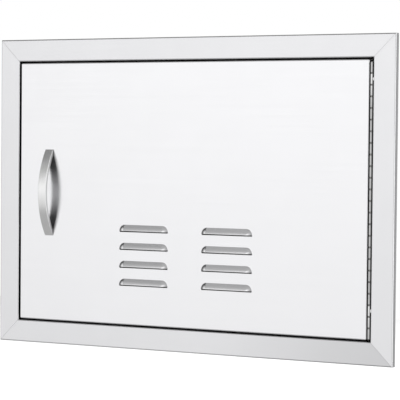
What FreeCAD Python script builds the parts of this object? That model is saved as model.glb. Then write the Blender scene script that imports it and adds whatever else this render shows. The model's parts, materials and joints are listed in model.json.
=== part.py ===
"""Built-in stainless steel access door: a mitred wall frame with a louvred door on a continuous hinge.

Millimetres. The origin is the centre of the wall cut-out, in the plane of the wall.
+X is to the right seen from the front, +Y goes back into the wall and +Z is up.
"""
import FreeCAD, Part
import math
import os

import Sketcher

THROUGH = 4  # a cut through a sheet is this many times the sheet's thickness, half of it on each side
SAME_PLACE = 1e-4  # two coordinates closer than this count as the same

doc = FreeCAD.newDocument("AccessDoor")
sheet = doc.addObject("Spreadsheet::Sheet", "Dims")


class Size:
    """A size as a number, together with the spreadsheet expression that it comes from."""

    def __init__(self, text, number):
        self.text = text
        self.number = number

    def __add__(self, other):
        other = as_size(other)
        return Size(f"({self.text} + {other.text})", self.number + other.number)

    def __sub__(self, other):
        other = as_size(other)
        return Size(f"({self.text} - {other.text})", self.number - other.number)

    def __mul__(self, other):
        other = as_size(other)
        return Size(f"({self.text} * {other.text})", self.number * other.number)

    def __truediv__(self, other):
        other = as_size(other)
        return Size(f"({self.text} / {other.text})", self.number / other.number)

    def __neg__(self):
        return Size(f"(0 - {self.text})", -self.number)


def as_size(value):
    """Take a plain number as a size."""
    return value if isinstance(value, Size) else Size(str(value), float(value))


def root(value):
    """The square root of a size."""
    return Size(f"sqrt({value.text})", math.sqrt(value.number))


def dim(alias, value, meaning):
    """Write one driving dimension into the next row of the spreadsheet."""
    dim.row += 1
    sheet.set(f"A{dim.row}", meaning)
    sheet.set(f"B{dim.row}", str(value))
    sheet.setAlias(f"B{dim.row}", alias)
    return Size(f"Dims.{alias}", float(value))


dim.row = 0

# Driving dimensions of the frame
frame_width = dim("frame_width", 610, "outer width of the frame")
frame_height = dim("frame_height", 432, "outer height of the frame")
face_width = dim("face_width", 31.2, "width of the frame's front face")
stand_off = dim("stand_off", 11, "how far the front face stands out from the wall")
hem_width = dim("hem_width", 8, "width of the hem that lies on the wall")
jamb_depth = dim("jamb_depth", 49, "depth of the jamb, from the front face to its rear edge")
frame_gauge = dim("frame_gauge", 1.2, "sheet thickness of the frame")
frame_bend = dim("frame_bend", 0.8, "inner bend radius of the frame")
wall_hole_radius = dim("wall_hole_radius", 2.75, "radius of the holes for the wall screws")
wall_hole_spacing = dim("wall_hole_spacing", 240, "height between the two wall screws of a stile")
wall_hole_inset = dim("wall_hole_inset", 6.5, "wall screws from the jamb's rear edge")

# Driving dimensions of the door
edge_gap = dim("edge_gap", 2.3, "gap above and below the door")
latch_gap = dim("latch_gap", 3.2, "gap beside the door on the latch side")
pan_depth = dim("pan_depth", 18, "depth of the folded front pan")
pan_flange = dim("pan_flange", 14, "width of the pan's rear flange")
door_gauge = dim("door_gauge", 1, "sheet thickness of the front pan")
door_bend = dim("door_bend", 0.8, "inner bend radius of the front pan")
door_corner = dim("door_corner", 2, "corner radius of the door, seen from the front")
liner_gauge = dim("liner_gauge", 0.8, "sheet thickness of the back liner")
liner_inset = dim("liner_inset", 1, "back liner in from the door's edges")

# Driving dimensions of the louvres
louvre_length = dim("louvre_length", 78.6, "length of one louvre")
louvre_height = dim("louvre_height", 9.3, "height of one louvre, from its lip to the skin above")
louvre_depth = dim("louvre_depth", 5, "how far the hood's arc reaches out from the skin")
louvre_lean = dim("louvre_lean", 4, "foremost point of the hood's arc below the lip")
louvre_blend = dim("louvre_blend", 1.5, "radius where the hood runs into the skin")
louvre_slot = dim("louvre_slot", 1.4, "skin cut back below the lip")
louvre_pitch = dim("louvre_pitch", 25, "height from one louvre to the next")
louvre_rows = dim("louvre_rows", 4, "louvres in a column")
louvre_columns = dim("louvre_columns", 2, "columns of louvres")
louvre_column_pitch = dim("louvre_column_pitch", 129.5, "distance between the two columns")
louvre_shift = dim("louvre_shift", 1.1, "louvre columns left of the door's middle")
louvre_first_lip = dim("louvre_first_lip", 52, "lip of the top louvre below the door's centre")
vent_length = dim("vent_length", 60, "length of a vent slot in the liner")
vent_height = dim("vent_height", 8, "height of a vent slot in the liner")

# Driving dimensions of the hinge
barrel_radius = dim("barrel_radius", 2.2, "outer radius of the knuckles")
pin_radius = dim("pin_radius", 1.2, "radius of the hinge pin")
pin_clearance = dim("pin_clearance", 0.05, "running clearance round the pin")
leaf_set = dim("leaf_set", 0.5, "room between the knuckles and the jamb or the door")
barrel_recess = dim("barrel_recess", 1.8, "hinge axis behind the front face")
hinge_shorter = dim("hinge_shorter", 3.56, "hinge shorter than the door")
knuckle_pairs = dim("knuckle_pairs", 12, "knuckles on each leaf")
knuckle_gap = dim("knuckle_gap", 0.6, "gap between two knuckles")
barrel_clearance = dim("barrel_clearance", 0.4, "leaf cut back behind the other leaf's knuckles")
leaf_gauge = dim("leaf_gauge", 1, "sheet thickness of the leaves")
leaf_width = dim("leaf_width", 14, "width of a leaf, from the hinge axis")
hinge_drop = dim("hinge_drop", 1.2, "middle of the hinge below the door's centre")
tack_length = dim("tack_length", 5, "length of a tack weld between barrel and frame")
tack_radius = dim("tack_radius", 1, "radius of a tack weld's bead")
tack_lead = dim("tack_lead", 0.3, "how far a tack weld stands out of the front face")
tack_set = dim("tack_set", 0.1, "middle of a tack weld from the jamb, over the gap")
tack_knuckle_top = dim("tack_knuckle_top", 2, "knuckle with the upper tack weld, counted from the top")
tack_knuckle_low = dim("tack_knuckle_low", 22, "knuckle with the lower tack weld, counted from the top")

# Driving dimensions of the handle
handle_from_edge = dim("handle_from_edge", 48.9, "handle centre from the door's latch edge")
handle_drop = dim("handle_drop", 1, "handle centre below the door's centre")
handle_length = dim("handle_length", 122, "overall length of the handle")
handle_width = dim("handle_width", 13, "width of the bar")
handle_reach = dim("handle_reach", 20.5, "front of the bar from the skin, at mid length")
handle_tip = dim("handle_tip", 1.2, "front of the bar from the skin, at its ends")
handle_thickness = dim("handle_thickness", 4.2, "thickness of the bar at mid length")
handle_foot = dim("handle_foot", 9, "length of a foot on the skin")
handle_screw_inset = dim("handle_screw_inset", 9, "handle screws from the bar's ends")
handle_boss_radius = dim("handle_boss_radius", 3.4, "radius of the boss round a screw hole, behind the bar")
handle_boss_height = dim("handle_boss_height", 3, "how far a boss reaches from the skin into the bar")
handle_tip_round = dim("handle_tip_round", 0.8, "rounding of the bar's tips")
handle_thread_depth = dim("handle_thread_depth", 5, "depth of the screw holes in the handle")
access_radius = dim("access_radius", 7, "holes in the liner for driving the handle screws")

# Driving dimensions of stops, catch and strike
stop_gauge = dim("stop_gauge", 1, "sheet thickness of the stop angles")
stop_leg = dim("stop_leg", 12, "width of the leg that faces the door")
stop_hole_gap = dim("stop_hole_gap", 0.45, "leg on the jamb short of the wall screws' holes")
bumper_height = dim("bumper_height", 2.2, "height of a bumper above the stop")
bumper_radius = dim("bumper_radius", 4, "radius of a bumper")
bumper_stem = dim("bumper_stem", 1.6, "radius of a bumper's stem")
bumper_inset = dim("bumper_inset", 7.5, "bumper centre from the jamb")
bumper_barb = dim("bumper_barb", 2.3, "radius of the barb that holds a bumper")
bumper_spread = dim("bumper_spread", 400, "distance between the two bumpers of a stop")
stop_end_gap = dim("stop_end_gap", 0.5, "room at the ends of a stop angle")
closing_gap = dim("closing_gap", 0.3, "air between the closed door and what it closes on")
catch_length = dim("catch_length", 46, "length of the catch's block")
catch_width = dim("catch_width", 20, "width of the catch, out from the jamb")
catch_depth = dim("catch_depth", 15, "depth of the catch, front to back")
catch_ear = dim("catch_ear", 13, "length of a screw ear")
catch_ear_gauge = dim("catch_ear_gauge", 3, "thickness of a screw ear")
pole_gauge = dim("pole_gauge", 1.5, "thickness of a pole plate")
catch_end_wall = dim("catch_end_wall", 6, "wall of the block at the ends of the pole plates")
pole_lead = dim("pole_lead", 0.6, "how far the pole plates stand out of the block")
magnet_gauge = dim("magnet_gauge", 5, "thickness of the magnet")
magnet_depth = dim("magnet_depth", 9, "depth of the magnet and the pole plates in the block")
pocket_clearance = dim("pocket_clearance", 0.1, "room round the magnet and the pole plates")
strike_gauge = dim("strike_gauge", 1.5, "thickness of the strike plate")
strike_width = dim("strike_width", 13, "width of the strike plate")
strike_lead = dim("strike_lead", 15, "strike plate longer than the catch's block, at each end")
strike_rivet_inset = dim("strike_rivet_inset", 7, "strike's rivets from its ends")

# Driving dimensions of the fasteners
rivet_radius = dim("rivet_radius", 1.6, "shank radius of a rivet")
rivet_head_radius = dim("rivet_head_radius", 3, "head radius of a rivet")
rivet_head_height = dim("rivet_head_height", 1.1, "head height of a rivet")
rivet_crown_radius = dim("rivet_crown_radius", 1.5, "radius of the flat on a rivet's head")
rivet_tail_radius = dim("rivet_tail_radius", 2.3, "radius of a rivet's upset tail")
rivet_tail_length = dim("rivet_tail_length", 1.8, "length of a rivet's upset tail")
screw_radius = dim("screw_radius", 2, "shank radius of a screw")
screw_head_radius = dim("screw_head_radius", 3.8, "head radius of a screw")
screw_head_height = dim("screw_head_height", 2.4, "head height of a screw")
screw_recess_radius = dim("screw_recess_radius", 1.4, "radius of the drive recess in a screw head")
screw_recess_depth = dim("screw_recess_depth", 1.3, "depth of the drive recess in a screw head")
washer_radius = dim("washer_radius", 6, "outer radius of a handle washer")
washer_gauge = dim("washer_gauge", 1, "thickness of a handle washer")
hole_clearance = dim("hole_clearance", 0.1, "radial room round a rivet or screw")

doc.recompute()

# Places that several pieces share
zero = as_size(0)
leaf_seat = barrel_radius + leaf_set
hinge_gap = leaf_seat * 2
opening_x = frame_width / 2 - face_width
opening_z = frame_height / 2 - face_width
door_left = latch_gap - opening_x
door_right = opening_x - hinge_gap
door_top = opening_z - edge_gap
door_middle = (door_left + door_right) / 2
door_back = pan_depth + liner_gauge
jamb_rear = jamb_depth - stand_off
frame_outer_bend = frame_bend + frame_gauge
door_outer_bend = door_bend + door_gauge
rivet_hole = rivet_radius + hole_clearance
screw_hole = screw_radius + hole_clearance
hinge_x = opening_x - leaf_seat
hinge_length = door_top * 2 - hinge_shorter
knuckle_length = hinge_length / (knuckle_pairs * 2)
handle_x = door_left + handle_from_edge
handle_screw_centres = handle_length - handle_screw_inset * 2
stop_front = door_back + closing_gap + bumper_height
stop_jamb_leg = jamb_depth - wall_hole_inset - wall_hole_radius - stop_hole_gap - stop_front
catch_front = door_back + strike_gauge + closing_gap + pole_lead
catch_screw_spread = catch_length + catch_ear
catch_screw_y = catch_front + catch_depth / 2
pole_length = catch_length - catch_end_wall * 2
strike_left = door_left + liner_inset
strike_length = catch_length + strike_lead * 2
strike_rivet_spread = strike_length - strike_rivet_inset * 2
pole_pitch = magnet_gauge + pole_gauge
catch_poles_x = strike_left + strike_width / 2
louvre_x = door_middle - louvre_shift - louvre_column_pitch / 2
arc_height = louvre_height + louvre_lean
louvre_reach = (arc_height * arc_height + louvre_depth * louvre_depth) / (louvre_depth * 2)
hood_radius = louvre_reach - louvre_blend
hood_centre = hood_radius - louvre_depth
vent_z = louvre_height / 2 - louvre_first_lip


def add_body(label):
    """A new body whose label names the piece."""
    body = doc.addObject("PartDesign::Body", label)
    body.Label = label
    return body


def origin(body, role):
    """An origin plane or axis of a body."""
    return next(part for part in body.Origin.OriginFeatures if part.Role == role)


def place(piece, x=zero, y=zero, z=zero, axis=(0, 0, 1), angle=0):
    """Turn a piece about an axis and set it at a place that follows the spreadsheet."""
    piece.Placement = FreeCAD.Placement(
        FreeCAD.Vector(), FreeCAD.Rotation(FreeCAD.Vector(*axis), angle))
    for name, value in (("x", x), ("y", y), ("z", z)):
        piece.setExpression(f"Placement.Base.{name}", as_size(value).text)


def add_sketch(body, name, plane, right=zero, up=zero, out=zero):
    """A sketch on an origin plane, shifted within the plane and along its normal."""
    sketch = body.newObject("Sketcher::SketchObject", f"{body.Name}_{name}")
    sketch.AttachmentSupport = [(origin(body, plane), "")]
    sketch.MapMode = "FlatFace"
    for axis, value in (("x", right), ("y", up), ("z", out)):
        sketch.setExpression(f"AttachmentOffset.Base.{axis}", as_size(value).text)
    return sketch


def bind(sketch, constraint, value):
    """Add a dimension to a sketch and tie it to the spreadsheet."""
    index = sketch.addConstraint(constraint)
    sketch.renameConstraint(index, f"size_{index}")
    sketch.setExpression(f"Constraints.size_{index}", value.text)


def fix_point(sketch, item, end, x, y):
    """Hold a point of a sketch at a place, with None for a direction that is already held."""
    for kind, axis_line, value in (("DistanceX", -2, x), ("DistanceY", -1, y)):
        if value is None:
            continue
        if value.text == zero.text:
            sketch.addConstraint(Sketcher.Constraint("PointOnObject", item, end, axis_line))
        else:
            bind(sketch, Sketcher.Constraint(kind, -1, 1, item, end, value.number), value)


def arc_between(start, finish, radius, turn, long_way):
    """An arc from start to finish, anticlockwise for turn 1 and clockwise for turn -1."""
    half = (finish - start) / 2
    side = FreeCAD.Vector(-half.y, half.x, 0).normalize()
    rise = math.sqrt(max(radius ** 2 - half.Length ** 2, 0))
    centre = start + half + side * (rise * turn * (-1 if long_way else 1))
    first, last = (start, finish) if turn > 0 else (finish, start)
    begin = math.atan2(first.y - centre.y, first.x - centre.x)
    end = math.atan2(last.y - centre.y, last.x - centre.x)
    if end <= begin:
        end += 2 * math.pi
    return Part.ArcOfCircle(Part.Circle(centre, FreeCAD.Vector(0, 0, 1), radius), begin, end)


def outline(sketch, corners):
    """Draw a closed outline. A corner is (x, y), or (x, y, radius, turn, long way) after an arc."""
    corners = [tuple(as_size(value) for value in corner[:2]) + tuple(corner[2:]) for corner in corners]
    points = [FreeCAD.Vector(corner[0].number, corner[1].number, 0) for corner in corners]
    first_item = sketch.GeometryCount
    for index, corner in enumerate(corners):
        start = points[index - 1]
        if len(corner) == 2:
            sketch.addGeometry(Part.LineSegment(start, points[index]))
        else:
            radius, turn, long_way = corner[2:]
            sketch.addGeometry(arc_between(start, points[index], radius.number, turn, long_way))

    def end_of(index, at_finish):
        """The end of a side that touches its starting or finishing corner."""
        corner = corners[index]
        clockwise = len(corner) > 2 and corner[3] < 0
        return 2 if at_finish != clockwise else 1

    for index in range(len(corners)):
        following = (index + 1) % len(corners)
        sketch.addConstraint(Sketcher.Constraint(
            "Coincident", first_item + index, end_of(index, True),
            first_item + following, end_of(following, False)))
    for index, corner in enumerate(corners):
        x, y = corner[0], corner[1]
        before = corners[index - 1]
        straight = index > 0 and len(corner) == 2
        if straight and x.text == before[0].text:
            sketch.addConstraint(Sketcher.Constraint("Vertical", first_item + index))
            x = None
        elif straight and y.text == before[1].text:
            sketch.addConstraint(Sketcher.Constraint("Horizontal", first_item + index))
            y = None
        fix_point(sketch, first_item + index, end_of(index, True), x, y)
        if len(corner) > 2:
            radius = corner[2]
            bind(sketch, Sketcher.Constraint("Radius", first_item + index, radius.number), radius)


def rectangle(sketch, left, bottom, right, top):
    """Draw a rectangle."""
    outline(sketch, [(left, bottom), (right, bottom), (right, top), (left, top)])


def circle(sketch, x, y, radius):
    """Draw a circle."""
    x, y = as_size(x), as_size(y)
    centre = FreeCAD.Vector(x.number, y.number, 0)
    item = sketch.addGeometry(Part.Circle(centre, FreeCAD.Vector(0, 0, 1), radius.number))
    fix_point(sketch, item, 3, x, y)
    bind(sketch, Sketcher.Constraint("Radius", item, radius.number), radius)


def extrude(body, sketch, kind, length, both_ways=False, back=False):
    """Pad or pocket a sketch by a length, and make sure that a pocket took material away."""
    volume = body.Shape.Volume if kind == "Pocket" else 0
    feature = body.newObject(f"PartDesign::{kind}", f"{sketch.Name}_{kind}")
    feature.Profile = sketch
    feature.SideType = "Symmetric" if both_ways else "One side"
    feature.Reversed = back
    feature.setExpression("Length", as_size(length).text)
    doc.recompute()
    if kind == "Pocket" and not body.Shape.Volume < volume:
        raise RuntimeError(f"{feature.Name} cuts nothing")
    return feature


def pad(body, sketch, length, both_ways=False, back=False):
    """Add material along a sketch's normal."""
    return extrude(body, sketch, "Pad", length, both_ways, back)


def pocket(body, sketch, length, both_ways=False, back=False):
    """Take material away against a sketch's normal."""
    return extrude(body, sketch, "Pocket", length, both_ways, back)


def turn_profile(body, sketch, axis, kind="Revolution", angle=360, back=False):
    """Revolve or groove a sketch round one of its own axes."""
    feature = body.newObject(f"PartDesign::{kind}", f"{sketch.Name}_{kind}")
    feature.Profile = sketch
    feature.ReferenceAxis = (sketch, [axis])
    feature.Angle = angle
    feature.Reversed = back
    doc.recompute()
    return feature


def repeat(body, name, features, axis, spacing, count, back=False, second=None):
    """Repeat features in a row, or in rows and columns with (axis, spacing, count, back) as second."""
    pattern = body.newObject("PartDesign::LinearPattern", f"{body.Name}_{name}")
    pattern.Originals = features
    pattern.Direction = (origin(body, axis), [""])
    pattern.Mode = "Spacing"
    pattern.Reversed = back
    pattern.setExpression("Offset", spacing.text)
    pattern.setExpression("Occurrences", count.text)
    if second:
        second_axis, second_spacing, second_count, second_back = second
        pattern.Direction2 = (origin(body, second_axis), [""])
        pattern.Mode2 = "Extent"
        pattern.Reversed2 = second_back
        pattern.setExpression("Length2", (second_spacing * (second_count - 1)).text)
        pattern.setExpression("Occurrences2", second_count.text)
    body.Tip = pattern
    doc.recompute()
    return pattern


def edges_at(shape, **where):
    """Names of the edges that lie at the given coordinates all along."""
    names = []
    for number, edge in enumerate(shape.Edges, 1):
        ends = [vertex.Point for vertex in edge.Vertexes]
        if all(abs(getattr(end, axis) - size.number) < SAME_PLACE for end in ends for axis, size in where.items()):
            names.append(f"Edge{number}")
    return names


def round_edges(body, name, radius, edge_names):
    """Fillet edges of a body's latest shape."""
    fillet = body.newObject("PartDesign::Fillet", f"{body.Name}_{name}")
    fillet.Base = (fillet.BaseFeature, edge_names)
    fillet.setExpression("Radius", radius.text)
    doc.recompute()
    return fillet


def frame_rail(label, along, across, angle):
    """One folded, mitred rail, drawn as the top rail and turned into place about the Y axis."""
    body = add_body(label)
    outer = across / 2
    inner = outer - face_width
    face = -stand_off
    profile = add_sketch(body, "profile", "YZ_Plane")
    outline(profile, [
        (zero, outer - hem_width), (zero, outer), (face, outer), (face, inner),
        (jamb_rear, inner), (jamb_rear, inner + frame_gauge),
        (face + frame_gauge, inner + frame_gauge), (face + frame_gauge, outer - frame_gauge),
        (-frame_gauge, outer - frame_gauge), (-frame_gauge, outer - hem_width)])
    pad(body, profile, along, both_ways=True)
    outer_bends = [(zero, outer), (face, outer), (face, inner)]
    inner_bends = [(-frame_gauge, outer - frame_gauge), (face + frame_gauge, outer - frame_gauge),
                   (face + frame_gauge, inner + frame_gauge)]
    for name, radius, bends in (("outer_bends", frame_outer_bend, outer_bends),
                                ("inner_bends", frame_bend, inner_bends)):
        edge_names = [edge for y, z in bends for edge in edges_at(body.Shape, y=y, z=z)]
        round_edges(body, name, radius, edge_names)
    mitre = add_sketch(body, "mitre", "XZ_Plane")
    for side in (1, -1):
        corner = along / 2 * side
        outline(mitre, [
            (corner + stand_off * side, outer + stand_off),
            (corner + stand_off * side, inner - stand_off),
            (corner - (face_width + stand_off) * side, inner - stand_off)])
    pocket(body, mitre, jamb_depth * THROUGH, both_ways=True)
    place(body, axis=(0, 1, 0), angle=angle)
    return body


def jamb_holes(body, name, across, radius, along, depth):
    """Holes through a rail's jamb at places along the rail, at one depth behind the wall plane."""
    holes = add_sketch(body, name, "XY_Plane", out=across / 2 - face_width)
    for x in along:
        circle(holes, x, depth, radius)
    return pocket(body, holes, frame_gauge * THROUGH, both_ways=True)


def frame():
    """The four rails, with screw holes in the stiles. Gives back the stile with the hinge."""
    frame_rail("frame_top_rail", frame_width, frame_height, 0)
    frame_rail("frame_bottom_rail", frame_width, frame_height, 180)
    left = frame_rail("frame_left_stile", frame_height, frame_width, -90)
    right = frame_rail("frame_right_stile", frame_height, frame_width, 90)
    wall_holes = (wall_hole_spacing / 2, -wall_hole_spacing / 2)
    for stile in (left, right):
        jamb_holes(stile, "wall_holes", frame_width, wall_hole_radius, wall_holes, jamb_rear - wall_hole_inset)
    catch_holes = (catch_screw_spread / 2, -catch_screw_spread / 2)
    jamb_holes(left, "catch_holes", frame_width, screw_hole, catch_holes, catch_screw_y - stand_off)
    return right


def hood_section(sketch):
    """The hood's outer face from its lip up to the skin: an arc, and a blend between the arc and the skin."""
    share = louvre_blend / louvre_reach
    turn_y = (louvre_reach - louvre_depth) * share - louvre_blend
    turn_z = louvre_height - arc_height * share
    lip = hood_centre - root(hood_radius * hood_radius - louvre_lean * louvre_lean)
    outline(sketch, [
        (door_gauge, zero), (lip, zero), (turn_y, turn_z, hood_radius, -1, False),
        (zero, louvre_height, louvre_blend, 1, False), (door_gauge, louvre_height)])


def hollow_section(sketch):
    """The hollow under the hood: an arc one sheet thickness inside the hood's, up to the skin's rear face."""
    radius = hood_radius - door_gauge
    lip = hood_centre - root(radius * radius - louvre_lean * louvre_lean)
    from_centre = hood_centre - door_gauge
    top = root(radius * radius - from_centre * from_centre) - louvre_lean
    behind = door_gauge * 2
    outline(sketch, [(behind, zero), (lip, zero), (door_gauge, top, radius, -1, False), (behind, top)])


def louvres(body):
    """Press the louvres: hoods with rounded ends, open downwards, repeated in rows and columns."""
    straight = louvre_length - louvre_height * 2
    features = []
    for name, draw, grow, turn in (("hood", hood_section, pad, "Revolution"),
                                   ("hollow", hollow_section, pocket, "Groove")):
        section = add_sketch(body, name, "YZ_Plane", up=-louvre_first_lip, out=louvre_x)
        draw(section)
        features.append(grow(body, section, straight, both_ways=True))
        for side in (1, -1):
            end = add_sketch(body, f"{name}_end", "YZ_Plane", up=-louvre_first_lip,
                             out=louvre_x + straight / 2 * side)
            draw(end)
            features.append(turn_profile(body, end, "H_Axis", turn, 90, back=side < 0))
    slot = add_sketch(body, "slot", "XZ_Plane", right=louvre_x, up=-louvre_first_lip)
    slot_end = louvre_length / 2 - door_gauge
    rectangle(slot, -slot_end, -louvre_slot, slot_end, zero)
    features.append(pocket(body, slot, door_gauge * THROUGH, both_ways=True))
    repeat(body, "louvre_rows", features, "Z_Axis", louvre_pitch, louvre_rows, back=True,
           second=("X_Axis", louvre_column_pitch, louvre_columns, False))


def sheet_holes(body, name, places, radius, depth, length):
    """Round holes through a sheet of the door or a stop, at a depth behind the front face."""
    holes = add_sketch(body, name, "XZ_Plane", out=-depth)
    for x, z in places:
        circle(holes, x, z, radius)
    return pocket(body, holes, length, both_ways=True)


def strike_holes(body, depth, gauge):
    """The holes for the strike's rivets, through the pan's flange, the liner or the strike."""
    places = [(catch_poles_x, strike_rivet_spread / 2 * side) for side in (1, -1)]
    sheet_holes(body, "strike_holes", places, rivet_hole, depth, gauge * THROUGH)


def handle_places():
    """Where the two handle screws go through the skin."""
    return [(handle_x, handle_screw_centres / 2 * side - handle_drop) for side in (1, -1)]


def door_front_pan():
    """The folded front skin: a pan with rear flanges, pressed louvres and the holes of what it carries."""
    body = add_body("door_front_pan")
    face = add_sketch(body, "face", "XZ_Plane")
    rectangle(face, door_left, -door_top, door_right, door_top)
    pad(body, face, pan_depth, back=True)
    corners = [edge for x in (door_left, door_right) for z in (door_top, -door_top)
               for edge in edges_at(body.Shape, x=x, z=z)]
    round_edges(body, "corners", door_corner, corners)
    round_edges(body, "front_bend", door_outer_bend, edges_at(body.Shape, y=zero))
    cavity = add_sketch(body, "cavity", "XZ_Plane", out=-door_gauge)
    rectangle(cavity, door_left + door_gauge, door_gauge - door_top,
              door_right - door_gauge, door_top - door_gauge)
    pocket(body, cavity, pan_depth - door_gauge * 2)
    round_edges(body, "inner_bend", door_bend, edges_at(body.Shape, y=door_gauge))
    rear = add_sketch(body, "rear_opening", "XZ_Plane", out=-pan_depth)
    rectangle(rear, door_left + pan_flange, pan_flange - door_top,
              door_right - pan_flange, door_top - pan_flange)
    pocket(body, rear, door_gauge * THROUGH, both_ways=True)
    sheet_holes(body, "handle_holes", handle_places(), screw_hole, zero, door_gauge * THROUGH)
    strike_holes(body, pan_depth, door_gauge)
    louvres(body)
    place(body, y=-stand_off)


def door_back_liner():
    """The flat inner skin with a vent slot behind each louvre and holes to reach the handle screws."""
    body = add_body("door_back_liner")
    blank = add_sketch(body, "blank", "XZ_Plane", out=-pan_depth)
    rectangle(blank, door_left + liner_inset, liner_inset - door_top,
              door_right - liner_inset, door_top - liner_inset)
    pad(body, blank, liner_gauge, back=True)
    slot = add_sketch(body, "vent", "XZ_Plane", right=louvre_x, up=vent_z, out=-pan_depth)
    round_end = vent_height / 2
    straight = vent_length / 2 - round_end
    outline(slot, [
        (straight, -round_end), (vent_length / 2, zero, round_end, 1, False),
        (straight, round_end, round_end, 1, False), (-straight, round_end),
        (-vent_length / 2, zero, round_end, 1, False), (-straight, -round_end, round_end, 1, False)])
    first_slot = pocket(body, slot, liner_gauge * THROUGH, both_ways=True)
    repeat(body, "vents", [first_slot], "Z_Axis", louvre_pitch, louvre_rows, back=True,
           second=("X_Axis", louvre_column_pitch, louvre_columns, False))
    sheet_holes(body, "access_holes", handle_places(), access_radius, pan_depth, liner_gauge * THROUGH)
    strike_holes(body, pan_depth, liner_gauge)
    place(body, y=-stand_off)


def hinge_leaf(label, side, first_notch):
    """One leaf of the continuous hinge, with every second knuckle cut away from the rolled barrel."""
    body = add_body(label)
    plate = leaf_seat - leaf_gauge
    joint = root(barrel_radius * barrel_radius - plate * plate)
    section = add_sketch(body, "section", "XY_Plane")
    outline(section, [
        (barrel_radius * side, zero, barrel_radius, side, True), (leaf_seat * side, zero),
        (leaf_seat * side, leaf_width), (plate * side, leaf_width), (plate * side, joint)])
    circle(section, zero, zero, pin_radius + pin_clearance)
    pad(body, section, hinge_length, both_ways=True)
    notch = add_sketch(body, "notch", "YZ_Plane")
    notch_top = hinge_length / 2 - knuckle_length * first_notch + knuckle_gap / 2
    rectangle(notch, -barrel_radius * THROUGH, notch_top - knuckle_length - knuckle_gap,
              barrel_radius + barrel_clearance, notch_top)
    first = pocket(body, notch, leaf_seat * THROUGH, both_ways=True)
    repeat(body, "notches", [first], "Z_Axis", knuckle_length * 2, knuckle_pairs, back=True)
    place(body, hinge_x, barrel_recess - stand_off, -hinge_drop)
    return body


def hinge_pin():
    """The rod through all knuckles."""
    pin = doc.addObject("Part::Cylinder", "hinge_pin")
    pin.setExpression("Radius", pin_radius.text)
    pin.setExpression("Height", hinge_length.text)
    place(pin, hinge_x, barrel_recess - stand_off, -hinge_length / 2 - hinge_drop)


def hinge_tack_welds(stile, leaf):
    """Two weld beads in the groove between a fixed knuckle and the frame's bend."""
    beads = []
    for knuckle in (tack_knuckle_top, tack_knuckle_low):
        bead = doc.addObject("Part::Cylinder", "tack_bead")
        bead.setExpression("Radius", tack_radius.text)
        bead.setExpression("Height", tack_length.text)
        middle = hinge_length / 2 - knuckle_length * knuckle + knuckle_length / 2 - hinge_drop
        place(bead, opening_x - tack_set, tack_radius - tack_lead - stand_off, middle - tack_length / 2)
        beads.append(bead)
    pair = doc.addObject("Part::Compound", "tack_beads")
    pair.Links = beads
    against_frame = doc.addObject("Part::Cut", "tack_beads_on_frame")
    against_frame.Base = pair
    against_frame.Tool = stile
    welds = doc.addObject("Part::Cut", "hinge_tack_welds")
    welds.Base = against_frame
    welds.Tool = leaf


def handle_bar():
    """The solid bow handle: an outer and an inner arc, and two feet, each with a boss round its screw hole."""
    body = add_body("handle_bar")
    half = handle_length / 2
    half_opening = half - handle_foot
    bow = handle_reach - handle_tip
    outer = (half * half + bow * bow) / (bow * 2)
    clear = handle_reach - handle_thickness
    inner = (half_opening * half_opening + clear * clear) / (clear * 2)
    side_view = add_sketch(body, "side_view", "YZ_Plane")
    outline(side_view, [
        (zero, -half_opening), (zero, half_opening, inner, -1, False), (zero, half),
        (-handle_tip, half), (-handle_tip, -half, outer, 1, False), (zero, -half)])
    pad(body, side_view, handle_width, both_ways=True)
    tips = [edge for z in (half, -half) for edge in edges_at(body.Shape, y=-handle_tip, z=z)]
    round_edges(body, "tips", handle_tip_round, tips)
    bosses = add_sketch(body, "bosses", "XZ_Plane")
    holes = add_sketch(body, "screw_holes", "XZ_Plane")
    for side in (1, -1):
        circle(bosses, zero, handle_screw_centres / 2 * side, handle_boss_radius)
        circle(holes, zero, handle_screw_centres / 2 * side, screw_hole)
    pad(body, bosses, handle_boss_height)
    pocket(body, holes, handle_thread_depth, back=True)
    place(body, handle_x, -stand_off, -handle_drop)


def turned_group(label, corners, rows):
    """Turned pieces on the local Z axis, repeated by one or two rows of (axis, spacing, count)."""
    body = add_body(label)
    section = add_sketch(body, "section", "XZ_Plane")
    outline(section, corners)
    first = turn_profile(body, section, "V_Axis")
    second = (*rows[1], False) if len(rows) > 1 else None
    repeat(body, "row", [first], *rows[0], second=second)
    return body


def rivet_corners(grip):
    """Half section of a set rivet: low head, shank through the sheets and upset tail."""
    end = -grip - rivet_tail_length
    return [(zero, end), (rivet_tail_radius, end), (rivet_tail_radius, -grip), (rivet_radius, -grip),
            (rivet_radius, zero), (rivet_head_radius, zero), (rivet_crown_radius, rivet_head_height),
            (zero, rivet_head_height)]


def screw_corners(length):
    """Half section of a pan-head screw with a drive recess."""
    shoulder = screw_head_height / 2
    floor = screw_head_height - screw_recess_depth
    return [(zero, -length), (screw_radius, -length), (screw_radius, zero), (screw_head_radius, zero),
            (screw_head_radius, shoulder),
            (screw_head_radius - shoulder, screw_head_height),
            (screw_recess_radius, screw_head_height), (screw_recess_radius, floor), (zero, floor)]


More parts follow.
